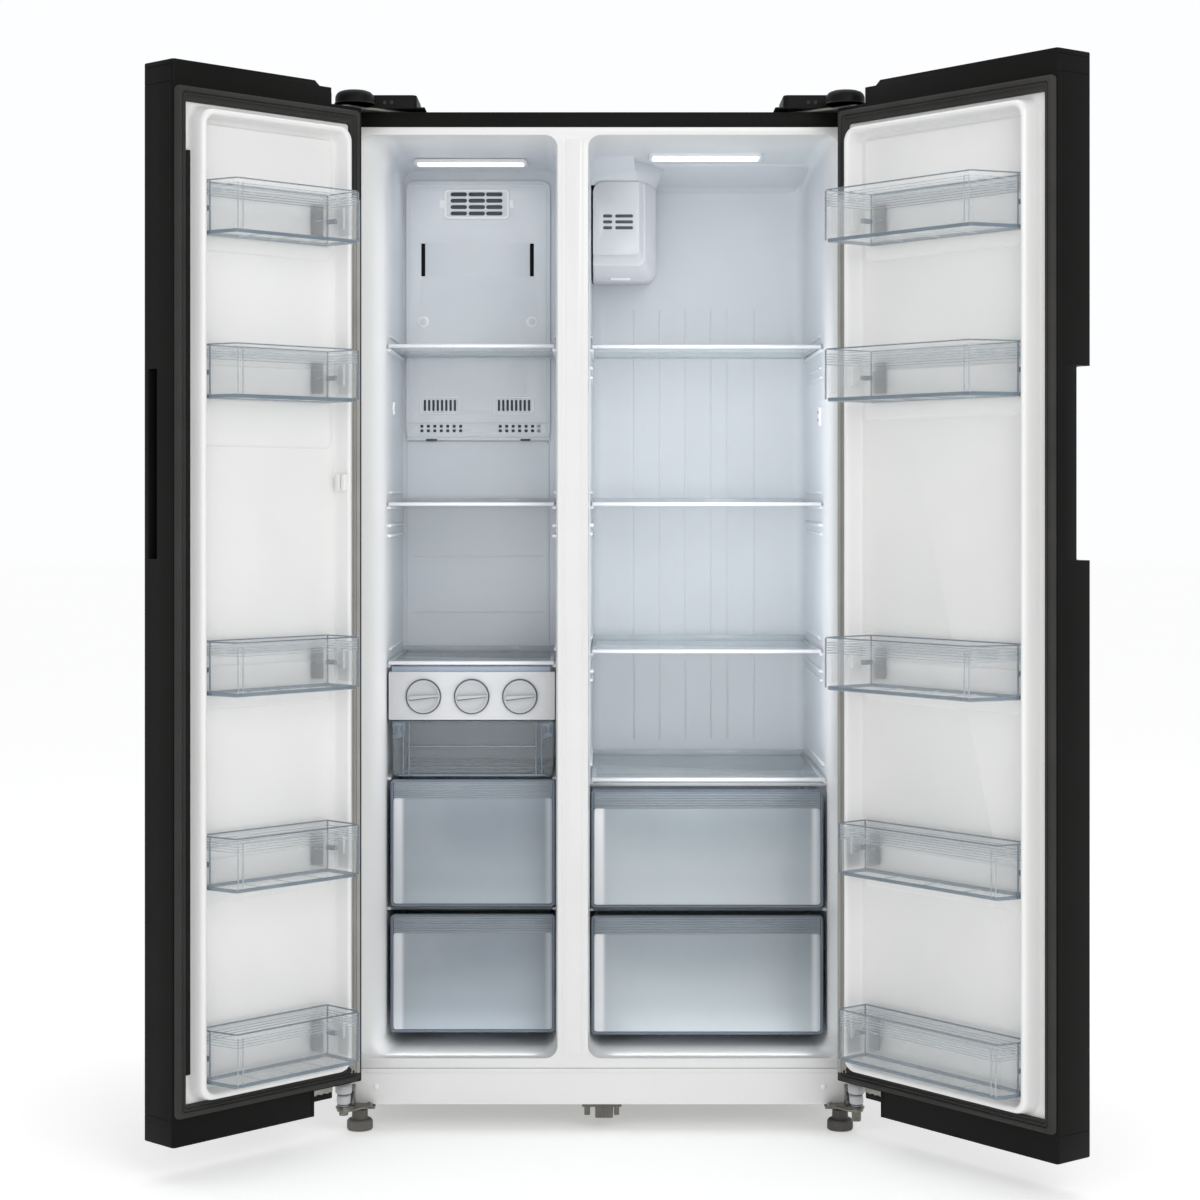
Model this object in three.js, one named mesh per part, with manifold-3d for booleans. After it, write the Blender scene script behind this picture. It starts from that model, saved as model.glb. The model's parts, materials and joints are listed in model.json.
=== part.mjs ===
// Side by side refrigerator, shown with both doors open.
// Millimetres, +X to the right, +Y towards the back, +Z up. Shapes are built with y = 0 on the
// cabinet's front plane and x = 0 on its centre line; at the end the whole object is moved so
// that its bounding box stands centred on the origin.
import * as THREE from 'three';
import { mergeVertices } from 'three/addons/utils/BufferGeometryUtils.js';
import Module from 'manifold-3d';

const wasm = await Module();
wasm.setup();

// ---------------------------------------------------------------- driving dimensions
const GAP = 0.3;                       // between touching pieces
const HALF_W = 446;                    // half the cabinet's width
const DEPTH = 620;                     // cabinet without doors
const BASE_Z = 44.5;                   // underside of the cabinet
const TOP_Z = 1747.4;                  // top of the cabinet
const SEAM_Z = 107.3;                  // front frame over toe panel
const BAND_Z = 1721.6;                 // top band over front frame
const OPEN_Z = [124, 1708.6];          // both compartments' openings
const FREEZER_X = [-411.6, -72.9];     // freezer opening
const FRIDGE_X = [-20.6, 409.9];       // fridge opening
const OPEN_R = 22;                     // radius of the openings' corners
const STRIP_X = [-62.9, -28.5];        // centre strip's edges
const SHEET = 1.2;                     // steel sheet
const WALL = 2;                        // liner wall
const SPLAY_Y = 82;                    // depth of the splayed mouth
const BACK_Y = 545;                    // back wall of the compartments
const STEP = { y: 385, z: 345 };       // step over the machine space
const MACHINE = { y: 440, z: 290 };    // machine space, behind and below
const LEDGE = [7, 6];                  // moulded ledge, out of the wall and high

const FREEZER_IN = [-374, -77];        // freezer inside, past the splay
const FRIDGE_IN = [-18, 398];          // fridge inside, past the splay
const SHELF_T = 5;
const TRIM = [12, 8];                  // front trim, deep and high
const FREEZER_SHELVES = [1355, 1078, 799.8];       // top faces
const FRIDGE_SHELVES = [1358, 1078, 816, 595];
const FREEZER_SHELF_Y = [86, 426];
const FRIDGE_SHELF_Y = [153, 520];
const LOW_SHELF_Y = 86;                // the lowest fridge shelf comes further forward
const DRAWER_WALL = 2.5;
const DRAWER_Y = 86;

const PIVOT = { x: 435, y: -48 };      // both doors' pins
const DOOR_Z = [59, 1779];
const DOOR_B = [-40, 36];              // door's outer and inner face, from the pin
const DOOR_END = -11;                  // hinge end, from the pin
const FREEZER_DOOR_W = 384;            // pin to free end
const FRIDGE_DOOR_W = 480;
const FREEZER_OPEN = 133.6;            // degrees open at rest
const FRIDGE_OPEN = 128.35;
const NOTCH = { a: 95, top: 1744, bottom: 101, slope: 22 };
const DIKE = { a: 38, crest: 70, wall: 12, z: [130, 1704] };
const GASKET = { wide: 20, back: 36.3, front: 47.7, z: [105, 1737] };
const GRIP_Z = [985, 1294];
const BIN_Z = [1502, 1242, 771, 463, 156];
const BIN_H = 87;
const BIN_WALL = 2.5;
const BIN_BACK = 35;

const ICE = { x: [-370, -79], z: [697, 781], y: [88, 380], axis: 738, knobs: [-309, -224.6, -140.2] };
const FOOT = { x: 413, y: 12, r: 22.5 };
const ROLLER = { x: 400, y: 575, r: 22 };
const PIN_R = 5;

// ---------------------------------------------------------------- solids
function solid(geometry) {
  const g = geometry.index ? geometry.toNonIndexed() : geometry.clone();
  for (const k of ['normal', 'uv']) g.deleteAttribute(k);
  const m = mergeVertices(g, 1e-4);
  return new wasm.Manifold(new wasm.Mesh({
    numProp: 3,
    vertProperties: new Float32Array(m.attributes.position.array),
    triVerts: new Uint32Array(m.index.array),
  }));
}

function box(x, y, z) {
  const g = new THREE.BoxGeometry(x[1] - x[0], y[1] - y[0], z[1] - z[0]);
  g.translate((x[0] + x[1]) / 2, (y[0] + y[1]) / 2, (z[0] + z[1]) / 2);
  return solid(g);
}

// a flat outline pushed along an axis: outlines are [x, y] along z, [x, z] along y, [y, z] along x
function prism(axis, outline, from, to) {
  const flat = axis === 'y' ? outline.map(([u, v]) => [v, u]) : outline;
  const shape = new THREE.Shape(flat.map(([u, v]) => new THREE.Vector2(u, v)));
  const g = new THREE.ExtrudeGeometry(shape, { depth: to - from, bevelEnabled: false, steps: 1 });
  g.translate(0, 0, from);
  const turn = new THREE.Matrix4();
  if (axis === 'x') turn.set(0, 0, 1, 0, 1, 0, 0, 0, 0, 1, 0, 0, 0, 0, 0, 1);
  if (axis === 'y') turn.set(0, 1, 0, 0, 0, 0, 1, 0, 1, 0, 0, 0, 0, 0, 0, 1);
  g.applyMatrix4(turn);
  return solid(g);
}

function roundedRect(u, v, r, steps = 4) {
  const points = [];
  const corners = [[u[1] - r, v[1] - r, 0], [u[0] + r, v[1] - r, 1], [u[0] + r, v[0] + r, 2], [u[1] - r, v[0] + r, 3]];
  for (const [cu, cv, q] of corners) {
    for (let i = 0; i <= steps; i++) {
      const t = (q + i / steps) * Math.PI / 2;
      points.push([cu + r * Math.cos(t), cv + r * Math.sin(t)]);
    }
  }
  return points;
}

// a round body about a line along z, from [radius, z] pairs that start and end on the line
function turned(profile, at, steps = 24) {
  const g = new THREE.LatheGeometry(profile.map(([r, z]) => new THREE.Vector2(r, z)), steps);
  g.rotateX(Math.PI / 2);
  g.translate(at[0], at[1], at[2] ?? 0);
  const s = solid(g);
  return s.volume() < 0 ? solid(flipped(g)) : s;
}

function flipped(g) {
  const h = g.toNonIndexed();
  const p = h.attributes.position;
  for (let i = 0; i < p.count; i += 3) {
    for (let k = 0; k < 3; k++) {
      const a = p.array[3 * (i + 1) + k];
      p.array[3 * (i + 1) + k] = p.array[3 * (i + 2) + k];
      p.array[3 * (i + 2) + k] = a;
    }
  }
  return h;
}

const rod = (r, z, at, steps = 20) => turned([[0, z[0]], [r, z[0]], [r, z[1]], [0, z[1]]], at, steps);

// a rod along y or x, through a point
function rodAlong(axis, r, span, at, steps = 20) {
  const s = rod(r, span, [0, 0, 0], steps);
  return axis === 'y'
    ? s.rotate([-90, 0, 0]).translate([at[0], 0, at[1]])
    : s.rotate([0, 90, 0]).translate([0, at[0], at[1]]);
}

// a skin through rings of equal point counts, closed at both ends
function loft(rings) {
  const n = rings[0].length;
  const p = rings.flat().flat();
  const t = [];
  for (let k = 0; k + 1 < rings.length; k++) {
    for (let i = 0; i < n; i++) {
      const a = k * n + i, b = k * n + (i + 1) % n;
      t.push(a, b, b + n, a, b + n, a + n);
    }
  }
  const last = (rings.length - 1) * n;
  for (let i = 1; i + 1 < n; i++) t.push(0, i + 1, i, last, last + i, last + i + 1);
  const g = new THREE.BufferGeometry();
  g.setAttribute('position', new THREE.Float32BufferAttribute(p, 3));
  g.setIndex(t);
  const s = solid(g);
  return s.volume() < 0 ? solid(flipped(g)) : s;
}

const join = (list) => list.reduce((a, b) => a.add(b));
const cut = (body, list) => list.reduce((a, b) => a.subtract(b), body);

// ---------------------------------------------------------------- materials
const material = (color, roughness, metalness = 0, opacity = 1) => () => new THREE.MeshStandardMaterial({
  color, roughness, metalness, transparent: opacity < 1, opacity,
});
const darkSteel = material('#232322', 0.5, 0.3);
const whiteSteel = material('#ececeb', 0.4);
const steel = material('#8e8f8a', 0.35, 0.9);
const foam = material('#e6dcb4', 0.95);
const linerPlastic = material('#d9dde2', 0.4);
const doorPlastic = material('#ededeb', 0.4);
const whitePlastic = material('#f0f2f4', 0.35);
const greyPlastic = material('#6b6762', 0.6);
const blackPlastic = material('#1a1a1a', 0.5);
const seal = material('#42403e', 0.8);
const clear = material('#c3cdd6', 0.12, 0, 0.45);
const drawerPlastic = material('#a9b2ba', 0.2, 0, 0.7);
const lampLens = material('#ffffff', 0.2);
const aluminium = material('#b9bcc0', 0.35, 0.9);
const compressorPaint = material('#161616', 0.45, 0.4);

const object = new THREE.Group();
object.name = 'side_by_side_refrigerator';

function add(name, body, paint) {
  const m = body.getMesh();
  const g = new THREE.BufferGeometry();
  const p = new Float32Array(m.vertProperties.length / m.numProp * 3);
  for (let i = 0; i < p.length / 3; i++) {
    for (let k = 0; k < 3; k++) p[3 * i + k] = m.vertProperties[i * m.numProp + k];
  }
  g.setAttribute('position', new THREE.BufferAttribute(p, 3));
  g.setIndex(new THREE.BufferAttribute(new Uint32Array(m.triVerts), 1));
  g.computeVertexNormals();
  const mesh = new THREE.Mesh(g, paint());
  mesh.name = name;
  object.add(mesh);
}

// ---------------------------------------------------------------- compartments
// the hollow of one compartment, grown by "out" on every side; the mouth splays in to the inside
function hollow(mouth, inside, out, front) {
  const ring = (x, z, r, y) => roundedRect([x[0] - out, x[1] + out], [z[0] - out, z[1] + out], r + out)
    .map(([u, v]) => [u, y, v]);
  const mid = [mouth[0] + (inside[0] - mouth[0]) * 0.62, mouth[1] + (inside[1] - mouth[1]) * 0.62];
  const whole = loft([
    ring(mouth, OPEN_Z, OPEN_R, front),
    ring(mouth, OPEN_Z, OPEN_R, 6),
    ring(mid, [OPEN_Z[0] + 1, OPEN_Z[1]], OPEN_R, SPLAY_Y * 0.5),
    ring(inside, [OPEN_Z[0] + 2, OPEN_Z[1]], OPEN_R, SPLAY_Y),
    ring([inside[0] + 2, inside[1] - 2], [OPEN_Z[0] + 3, OPEN_Z[1] - 2], OPEN_R, 400),
    ring([inside[0] + 4, inside[1] - 4], [OPEN_Z[0] + 4, OPEN_Z[1] - 18], OPEN_R, BACK_Y + out),
  ]);
  return whole.subtract(box([-500, 500], [STEP.y + out, 700], [0, STEP.z - out]));
}

function ledges(inside, heights, y, root) {
  const out = [];
  for (const z of heights) {
    out.push(box([inside[0] - 1, inside[0] + LEDGE[0]], y, [z - LEDGE[1], z]));
    out.push(box([inside[1] - LEDGE[0], inside[1] + 1], y, [z - LEDGE[1], z]));
  }
  return out.map((b) => b.intersect(root));
}

function liner(name, mouth, inside, shelves, y, plain) {
  const outer = hollow(mouth, inside, WALL, 2.3);
  const inner = hollow(mouth, inside, 0, -20);
  const rests = ledges(inside, shelves.map((z) => z - SHELF_T - GAP), y, outer);
  const rails = ledges(inside, plain, [y[0] + 20, 370], outer);
  add(name, join([outer.subtract(inner), ...rests, ...rails]), linerPlastic);
}

function wrap() {
  const w = HALF_W, s = w - SHEET;
  const shell = prism('y', [[-w, BASE_Z], [-w, TOP_Z], [w, TOP_Z], [w, BASE_Z], [s, BASE_Z], [s, TOP_Z - SHEET],
    [-s, TOP_Z - SHEET], [-s, BASE_Z]], 0, DEPTH);
  add('cabinet_wrap', shell.add(box([-w, w], [0, SHEET], [BAND_Z + GAP, TOP_Z])), darkSteel);
}

function frontFrame() {
  const w = HALF_W - SHEET - GAP;
  const plate = box([-w, w], [0, WALL], [SEAM_Z + GAP, BAND_Z]);
  const holes = [FREEZER_X, FRIDGE_X].map((x) => prism('y', roundedRect(x, OPEN_Z, OPEN_R), -5, 10));
  const grooves = STRIP_X.map((x) => box([x - 0.8, x + 0.8], [-1, 0.8], [OPEN_Z[0] + 6, OPEN_Z[1] - 6]));
  add('front_frame', cut(plate, [...holes, ...grooves]), whiteSteel);
}

function insulation() {
  const w = HALF_W - SHEET - 2 * GAP;
  const block = box([-w, w], [WALL + GAP + 0.3, DEPTH - 3.3], [SEAM_Z + 1, TOP_Z - SHEET - GAP]);
  const room = WALL + GAP;
  add('cabinet_insulation', cut(block, [
    hollow(FREEZER_X, FREEZER_IN, room, -5),
    hollow(FRIDGE_X, FRIDGE_IN, room, -5),
    box([-500, 500], [MACHINE.y, 700], [0, MACHINE.z]),
  ]), foam);
}

function basePan() {
  const w = HALF_W - SHEET - GAP, z = BASE_Z + 0.2, y = [4, DEPTH - 4];
  const parts = [box([1 - w, w - 1], [3, DEPTH - 3], [z, z + 2]),
    box([1 - w, w - 1], [MACHINE.y - 2, MACHINE.y], [z + 1, SEAM_Z - 4])];
  for (const s of [-1, 1]) {
    const x = s < 0 ? [-w, -w + 2] : [w - 2, w];
    parts.push(prism('x', [[y[0], z + 0.5], [y[1], z + 0.5], [y[1], MACHINE.z - 1], [MACHINE.y + 1, MACHINE.z - 1],
      [MACHINE.y + 1, SEAM_Z - 1], [y[0], SEAM_Z - 1]], x[0], x[1]));
    parts.push(box([s * 372 - 1.5, s * 372 + 1.5], [ROLLER.y - 14, ROLLER.y + 14], [10, z + 1]));
  }
  const holes = [-1, 1].flatMap((s) => [
    rod(6, [40, 52], [s * FOOT.x, FOOT.y]),
    rodAlong('x', 4.3, [s * 372 - 5, s * 372 + 5], [ROLLER.y, ROLLER.r]),
  ]);
  add('base_pan', cut(join(parts), holes), steel);
}

function backPanel() {
  const w = HALF_W - SHEET - GAP;
  const plate = box([-w, w], [DEPTH - 2.5, DEPTH], [BASE_Z + 3, TOP_Z - SHEET - GAP]);
  const slots = [];
  for (let i = 0; i < 6; i++) {
    for (let j = 0; j < 4; j++) {
      const x = -370 + i * 108, z = 96 + j * 40;
      slots.push(box([x, x + 84], [DEPTH - 10, DEPTH + 10], [z, z + 10]));
    }
  }
  const inlet = box([300, 336], [DEPTH - 1, DEPTH + 6], [262, 284]);
  const groove = box([308, 328], [DEPTH + 2, DEPTH + 10], [268, 278]);
  add('back_panel', cut(plate, slots).add(inlet.subtract(groove)), steel);
}

function toePanel() {
  const w = HALF_W - SHEET - GAP;
  const plate = prism('y', roundedRect([-w, w], [BASE_Z + 0.5, SEAM_Z - 0.5], 3, 2), 0, 2.6);
  add('toe_panel', plate, whiteSteel);
}

// ---------------------------------------------------------------- machine and air parts
function compressor() {
  const at = [-170, 528];
  const body = turned([[0, 62], [70, 62], [78, 72], [80, 118], [83, 122], [80, 126], [78, 176], [62, 206], [30, 220], [0, 222]], at, 28);
  const plate = prism('z', roundedRect([at[0] - 95, at[0] + 95], [at[1] - 70, at[1] + 70], 14, 3), 50, 53);
  const feet = [[-78, -54], [78, -54], [-78, 54], [78, 54]].map(([x, y]) => rod(9, [BASE_Z + 2.5, 52], [at[0] + x, at[1] + y], 12));
  const stem = rod(40, [52, 70], at, 20);
  const box1 = box([at[0] + 74, at[0] + 112], [at[1] - 30, at[1] + 30], [100, 160]);
  add('compressor', join([body, plate, ...feet, stem, box1]), compressorPaint);
}

function evaporator() {
  const fins = [], tubes = [];
  for (let i = 0; i < 12; i++) fins.push(box([-340 + i * 20, -338 + i * 20], [478, 528], [840, 1470]));
  for (let k = 0; k < 5; k++) tubes.push(box([-352, -107], [498, 508], [880 + k * 135, 890 + k * 135]));
  add('evaporator', join([...fins, ...tubes]), aluminium);
}

function evaporatorCover() {
  const x = [-366, -94], lowX = [-362, -98];
  const upper = prism('y', roundedRect(x, [1195, 1684], 17), 430, 541)
    .subtract(prism('y', roundedRect([x[0] + 3, x[1] - 3], [1198, 1681], 14), 433, 560));
  const lower = prism('y', roundedRect(lowX, [610, 1200], 8, 2), 442, 541)
    .subtract(prism('y', roundedRect([lowX[0] + 3, lowX[1] - 3], [613, 1198], 5, 2), 445, 560));
  const shell = upper.add(lower).subtract(box([lowX[0] + 6, lowX[1] - 6], [446, 560], [1150, 1240]));
  const bezel = prism('y', roundedRect([-294, -171], [1612, 1668], 8, 3), 427, 431);
  const cuts = [];
  for (const cx of [-266.5, -232.5, -199.5]) {
    for (let k = 0; k < 4; k++) {
      const z = 1619 + k * 12;
      cuts.push(prism('y', roundedRect([cx - 15.5, cx + 15.5], [z, z + 7.4], 3.6, 2), 420, 440));
    }
  }
  for (const cx of [-333.5, -128.5]) cuts.push(box([cx - 3.7, cx + 3.7], [420, 440], [1504, 1566]));
  for (const c of [-302, -162]) {
    for (let k = 0; k < 8; k++) cuts.push(box([c - 30 + k * 8.1, c - 26.8 + k * 8.1], [420, 440], [1250, 1270]));
  }
  add('evaporator_cover', cut(shell.add(bezel), cuts), linerPlastic);
}

function fan() {
  const at = [-232.5, 1600];
  const parts = [rodAlong('y', 16, [462, 486], at, 20), rodAlong('y', 3, [486, 524], at, 12)];
  for (let k = 0; k < 5; k++) {
    const blade = prism('z', roundedRect([-13, 13], [-1, 1], 0.9, 1), 0, 36).rotate([0, 0, 32]).translate([0, 474, 14]);
    parts.push(blade.translate([0, 0, 0]).rotate([0, k * 72, 0]).translate([at[0], 0, at[1]]));
  }
  add('evaporator_fan', join(parts), blackPlastic);
}

function ductHousing() {
  const plan = [[FRIDGE_IN[0] + 5, 330], [73, 330], [105, 380], [105, 526], [FRIDGE_IN[0] + 5, 526]];
  const inner = [[FRIDGE_IN[0] + 8, 333], [71.7, 333], [102, 381], [102, 560], [FRIDGE_IN[0] + 8, 560]];
  const low = [[FRIDGE_IN[0] + 5, 340], [66, 340], [96, 386], [96, 526], [FRIDGE_IN[0] + 5, 526]];
  const body = prism('z', plan, 1534, 1670).subtract(prism('z', inner, 1537, 1667));
  const lip = prism('z', low, 1480, 1535).subtract(box([0, 60], [360, 560], [1484, 1531]));
  const slots = [];
  for (const x of [[5.5, 22.5], [28, 61]]) {
    for (let k = 0; k < 3; k++) slots.push(prism('y', roundedRect(x, [1583 + k * 11.4, 1589.8 + k * 11.4], 3.3, 3), 320, 340));
  }
  add('duct_housing', cut(body.add(lip), slots), whitePlastic);
}

function lamps() {
  add('freezer_lamp', prism('z', roundedRect([-336, -140], [296, 360], 6, 3), 1699, 1704), lampLens);
  add('fridge_lamp', prism('z', roundedRect([95, 288], [226, 300], 6, 3), 1700.5, 1705.5), lampLens);
}

// ---------------------------------------------------------------- shelves
function shelf(name, x, top, y) {
  const profile = [[y[0], top - TRIM[1]], [y[0] + TRIM[0], top - TRIM[1]], [y[0] + TRIM[0], top - SHELF_T],
    [y[1], top - SHELF_T], [y[1], top + 8], [y[1] - 4, top + 8], [y[1] - 4, top - 1], [y[0] + TRIM[0], top - 1],
    [y[0] + TRIM[0], top], [y[0], top]];
  add(name, prism('x', profile, x[0], x[1]), clear);
}

function shelves() {
  const f = [FREEZER_IN[0] + 3.5, FREEZER_IN[1] - 3.5], r = [FRIDGE_IN[0] + 4, FRIDGE_IN[1] - 4.5];
  FREEZER_SHELVES.forEach((z, i) => shelf(`freezer_shelf_${i + 1}`, f, z, FREEZER_SHELF_Y));
  FRIDGE_SHELVES.forEach((z, i) => shelf(`fridge_shelf_${i + 1}`, r, z, i === 3 ? [LOW_SHELF_Y, FRIDGE_SHELF_Y[1]] : FRIDGE_SHELF_Y));
}

// ---------------------------------------------------------------- ice maker, bucket and drawers
function iceMaker() {
  const { x, y, z, axis, knobs } = ICE;
  const shell = box(x, y, z).subtract(box([x[0] + 3, x[1] - 3], [y[0] + 10, y[1] - 6], [z[0] - 5, z[1] - 3]));
  const strip = box([x[0] + 5, x[1] - 8], [y[0] + 3, y[0] + 11], [z[1] - 1, z[1] + 9.7]);
  const holes = knobs.flatMap((k) => [rodAlong('y', 9.3, [y[0] - 5, y[0] + 12], [k, axis]), rodAlong('y', 4.3, [y[1] - 8, y[1] + 5], [k, axis])]);
  add('ice_maker_frame', cut(shell.add(strip), holes), whitePlastic);
  knobs.forEach((k, i) => {
    const knob = rodAlong('y', 29, [y[0] - 8, y[0] - 0.5], [k, axis], 32);
    const ridge = prism('y', roundedRect([k - 27, k + 27], [axis - 4, axis + 4], 3.9, 3), y[0] - 13, y[0] - 7)
      .translate([-k, 0, -axis]).rotate([0, -4.3, 0]).translate([k, 0, axis]);
    const shaft = rodAlong('y', 9, [y[0] - 1, y[0] + 14], [k, axis]);
    const rear = rodAlong('y', 4, [y[1] - 14, y[1] - 0.5], [k, axis], 14);
    const trough = prism('y', [[k - 32, axis + 17], [k - 26, axis - 17], [k + 26, axis - 17], [k + 32, axis + 17]], y[0] + 12, y[1] - 10);
    const cells = [];
    const step = (y[1] - 10 - y[0] - 12 - 4) / 5;
    for (let c = 0; c < 5; c++) {
      const from = y[0] + 14 + c * step + 1;
      for (const s of [-1, 1]) {
        const u = s < 0 ? [k - 29, k - 1] : [k + 1, k + 29];
        const w = s < 0 ? [k - 24, k - 3] : [k + 3, k + 24];
        cells.push(prism('y', [[u[0], axis + 18], [w[0], axis - 14], [w[1], axis - 14], [u[1], axis + 18]], from, from + step - 2));
      }
    }
    add(`ice_tray_${i + 1}`, cut(join([knob, ridge, shaft, rear, trough]), cells), whitePlastic);
  });
}

// an open-topped drawer with a thicker, taller front
function drawer(name, x, y, z, front, paint) {
  const w = DRAWER_WALL;
  const tub = box([x[0] + 6, x[1] - 6], [y[0] + front - 1, y[1]], [z[0] + 4, z[1] - 14]);
  const room = box([x[0] + 6 + w, x[1] - 6 - w], [y[0] + front + 1, y[1] - w], [z[0] + 4 + w, z[1] + 5]);
  const face = prism('y', roundedRect(x, z, 8, 3), y[0], y[0] + front);
  const inset = prism('y', roundedRect([x[0] + 6, x[1] - 6], [z[0] + 6, z[1] - 34], 6, 3), y[0] - 5, y[0] + 1.5);
  add(name, cut(tub.add(face), [room, inset]), paint);
}

function drawers() {
  const f = [-367, -78.5], r = [-15.5, 391];
  add('ice_bucket', box([f[0] + 1, f[1] - 1], [DRAWER_Y + 3, 372], [597, 694])
    .subtract(box([f[0] + 4, f[1] - 4], [DRAWER_Y + 6, 369], [600, 710])), clear);
  drawer('freezer_drawer_upper', f, [DRAWER_Y, 426], [370, 593], 9, drawerPlastic);
  drawer('freezer_drawer_lower', f, [DRAWER_Y, 374], [150, 357], 9, drawerPlastic);
  drawer('crisper_upper', r, [DRAWER_Y, 480], [368, 575], 9, drawerPlastic);
  drawer('crisper_lower', r, [DRAWER_Y, 374], [146, 355], 9, drawerPlastic);
}

// ---------------------------------------------------------------- hinges, feet and rollers
// built for the left side and mirrored for the right
function hardware(side) {
  const at = [-PIVOT.x, PIVOT.y];
  const s = side === 'left' ? (m) => m : (m) => m.mirror([1, 0, 0]);
  const top = prism('z', [[-449 + 3, -48], [-444, -58], [-435, -64], [-424, -60], [-400, -30], [-320, 30], [-320, 96], [-430, 96], [-446, 30]], TOP_Z + GAP, TOP_Z + 4.3)
    .add(rod(PIN_R + 1, [1722, TOP_Z + 2], at));
  add(`top_hinge_${side}`, s(top), steel);
  const cover = join([
    turned([[0, TOP_Z + 5], [33, TOP_Z + 5], [33, 1764], [29, 1772], [20, 1776], [0, 1776.4]], [-416, -50], 24),
    prism('z', roundedRect([-448, -314], [-7, 104], 10, 3), TOP_Z + 5, 1770),
    box([-440, -392], [-50, 10], [TOP_Z + 5, 1766]),
    box([-320, -300], [-4, 90], [TOP_Z + 5, 1756]),
  ]);
  add(`hinge_cover_${side}`, s(cover), blackPlastic);
  const plate = prism('z', [[-447, -50], [-443, -60], [-435, -63], [-424, -60], [-396, -34], [-386, -10], [-386, 60], [-430, 60], [-444, 40]], 38.2, 43.6);
  const bush = rod(12, [43, 86], at);
  const pin = rod(PIN_R, [80, 112], at);
  const web = box([-424, -418], [-40, -4], [43, 82]);
  const low = cut(join([plate, bush, pin, web]), [rod(5.4, [30, 50], [-FOOT.x, FOOT.y])]);
  add(`lower_hinge_${side}`, s(low), steel);
  const foot = turned([[0, 0], [FOOT.r - 1.5, 0], [FOOT.r, 2], [FOOT.r, 16], [FOOT.r - 3, 19], [13.5, 19], [13.5, 35], [5, 35], [5, 64], [0, 64]], [-FOOT.x, FOOT.y], 24);
  const flats = [0, 1, 2, 3, 4, 5].map((k) => box([-30, 30], [FOOT.r - 0.9, 40], [3.5, 14.5]).rotate([0, 0, 60 * k]).translate([-FOOT.x, FOOT.y, 0]));
  add(`levelling_foot_${side}`, s(cut(foot, flats)), greyPlastic);
}

function rollers() {
  const parts = [rodAlong('x', 4, [-ROLLER.x - 12, ROLLER.x + 12], [ROLLER.y, ROLLER.r], 16)];
  for (const s of [-1, 1]) parts.push(rodAlong('x', ROLLER.r, [s * ROLLER.x - 11, s * ROLLER.x + 11], [ROLLER.y, ROLLER.r], 28));
  add('rear_rollers', join(parts), greyPlastic);
}

function centreSupport() {
  const block = box([-8.5, 22.5], [6, 46], [20, BASE_Z - GAP]);
  const plate = box([-31, 37], [6, 60], [39, BASE_Z - GAP]);
  const tabs = [[-27, -17], [24, 33]].map((x) => box(x, [6, 12], [25, 41]));
  add('centre_support', join([block, plate, ...tabs]), greyPlastic);
}

// ---------------------------------------------------------------- doors
// built closed in the left door's own frame: a from the pin to the free end, b from the pin to
// the inside, z up; then turned open and, for the fridge, mirrored
function place(body, fridge) {
  const open = body.rotate([0, 0, -(fridge ? FRIDGE_OPEN : FREEZER_OPEN)]).translate([-PIVOT.x, PIVOT.y, 0]);
  return fridge ? open.mirror([1, 0, 0]) : open;
}

// the door's whole block, shrunk by "inset" on its outer faces
function doorBlock(width, inset, back) {
  const a = [DOOR_END + inset, width - inset], b = [DOOR_B[0] + inset, back];
  const r = 9 - Math.min(inset, 3);
  const plan = [[a[0], b[1]], [a[0], b[0] + r], [a[0] + r * 0.3, b[0] + r * 0.3], [a[0] + r, b[0]],
    [a[1] - r, b[0]], [a[1] - r * 0.3, b[0] + r * 0.3], [a[1], b[0] + r], [a[1], b[1]]];
  const block = prism('z', plan, DOOR_Z[0] + inset, DOOR_Z[1] - inset);
  const n = NOTCH;
  const top = prism('y', [[-60, n.top - inset], [n.a + inset, n.top - inset], [n.a + n.slope + inset, 1800], [-60, 1800]], -80, 80);
  const low = prism('y', [[-60, 0], [n.a + inset, 0], [n.a + inset, n.bottom + inset], [-60, n.bottom + inset]], -80, 80);
  return cut(block, [top, low]);
}

// the finger recess: a slot in the freezer door's end face, a relief on the fridge door's outer corner
function grip(width, fridge, grow) {
  const z = [GRIP_Z[0] - grow, GRIP_Z[1] + grow];
  const deep = width - 32 - grow;
  if (fridge) return prism('y', [[deep, z[0] + 3], [600, z[0]], [600, z[1]], [deep, z[1] - 3]], DOOR_B[0] - 10, -6 + grow);
  return prism('y', [[deep, z[0] + 2], [600, z[0] - 1], [600, z[1] + 1], [deep, z[1] - 2]], -29 - grow, -5 + grow);
}

function binOutline(fridge, deep) {
  if (!fridge) return { hinge: 72, front: 126, corner: 327, end: 338, shoulder: 70 };
  return deep ? { hinge: 80, front: 152, corner: 405, end: 429, shoulder: 69 }
    : { hinge: 66, front: 108, corner: 420, end: 429, shoulder: 69 };
}

function bin(o, z) {
  const w = BIN_WALL;
  const outer = prism('z', [[o.hinge, BIN_BACK], [o.end, BIN_BACK], [o.end, o.shoulder], [o.corner, o.front], [o.hinge, o.front]], z, z + BIN_H);
  const inner = prism('z', [[o.hinge + w, BIN_BACK + w], [o.end - w, BIN_BACK + w], [o.end - w, o.shoulder - 0.6],
    [o.corner - w * 0.8, o.front - w], [o.hinge + w, o.front - w]], z + w, z + BIN_H + 5);
  return outer.subtract(inner);
}

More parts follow.
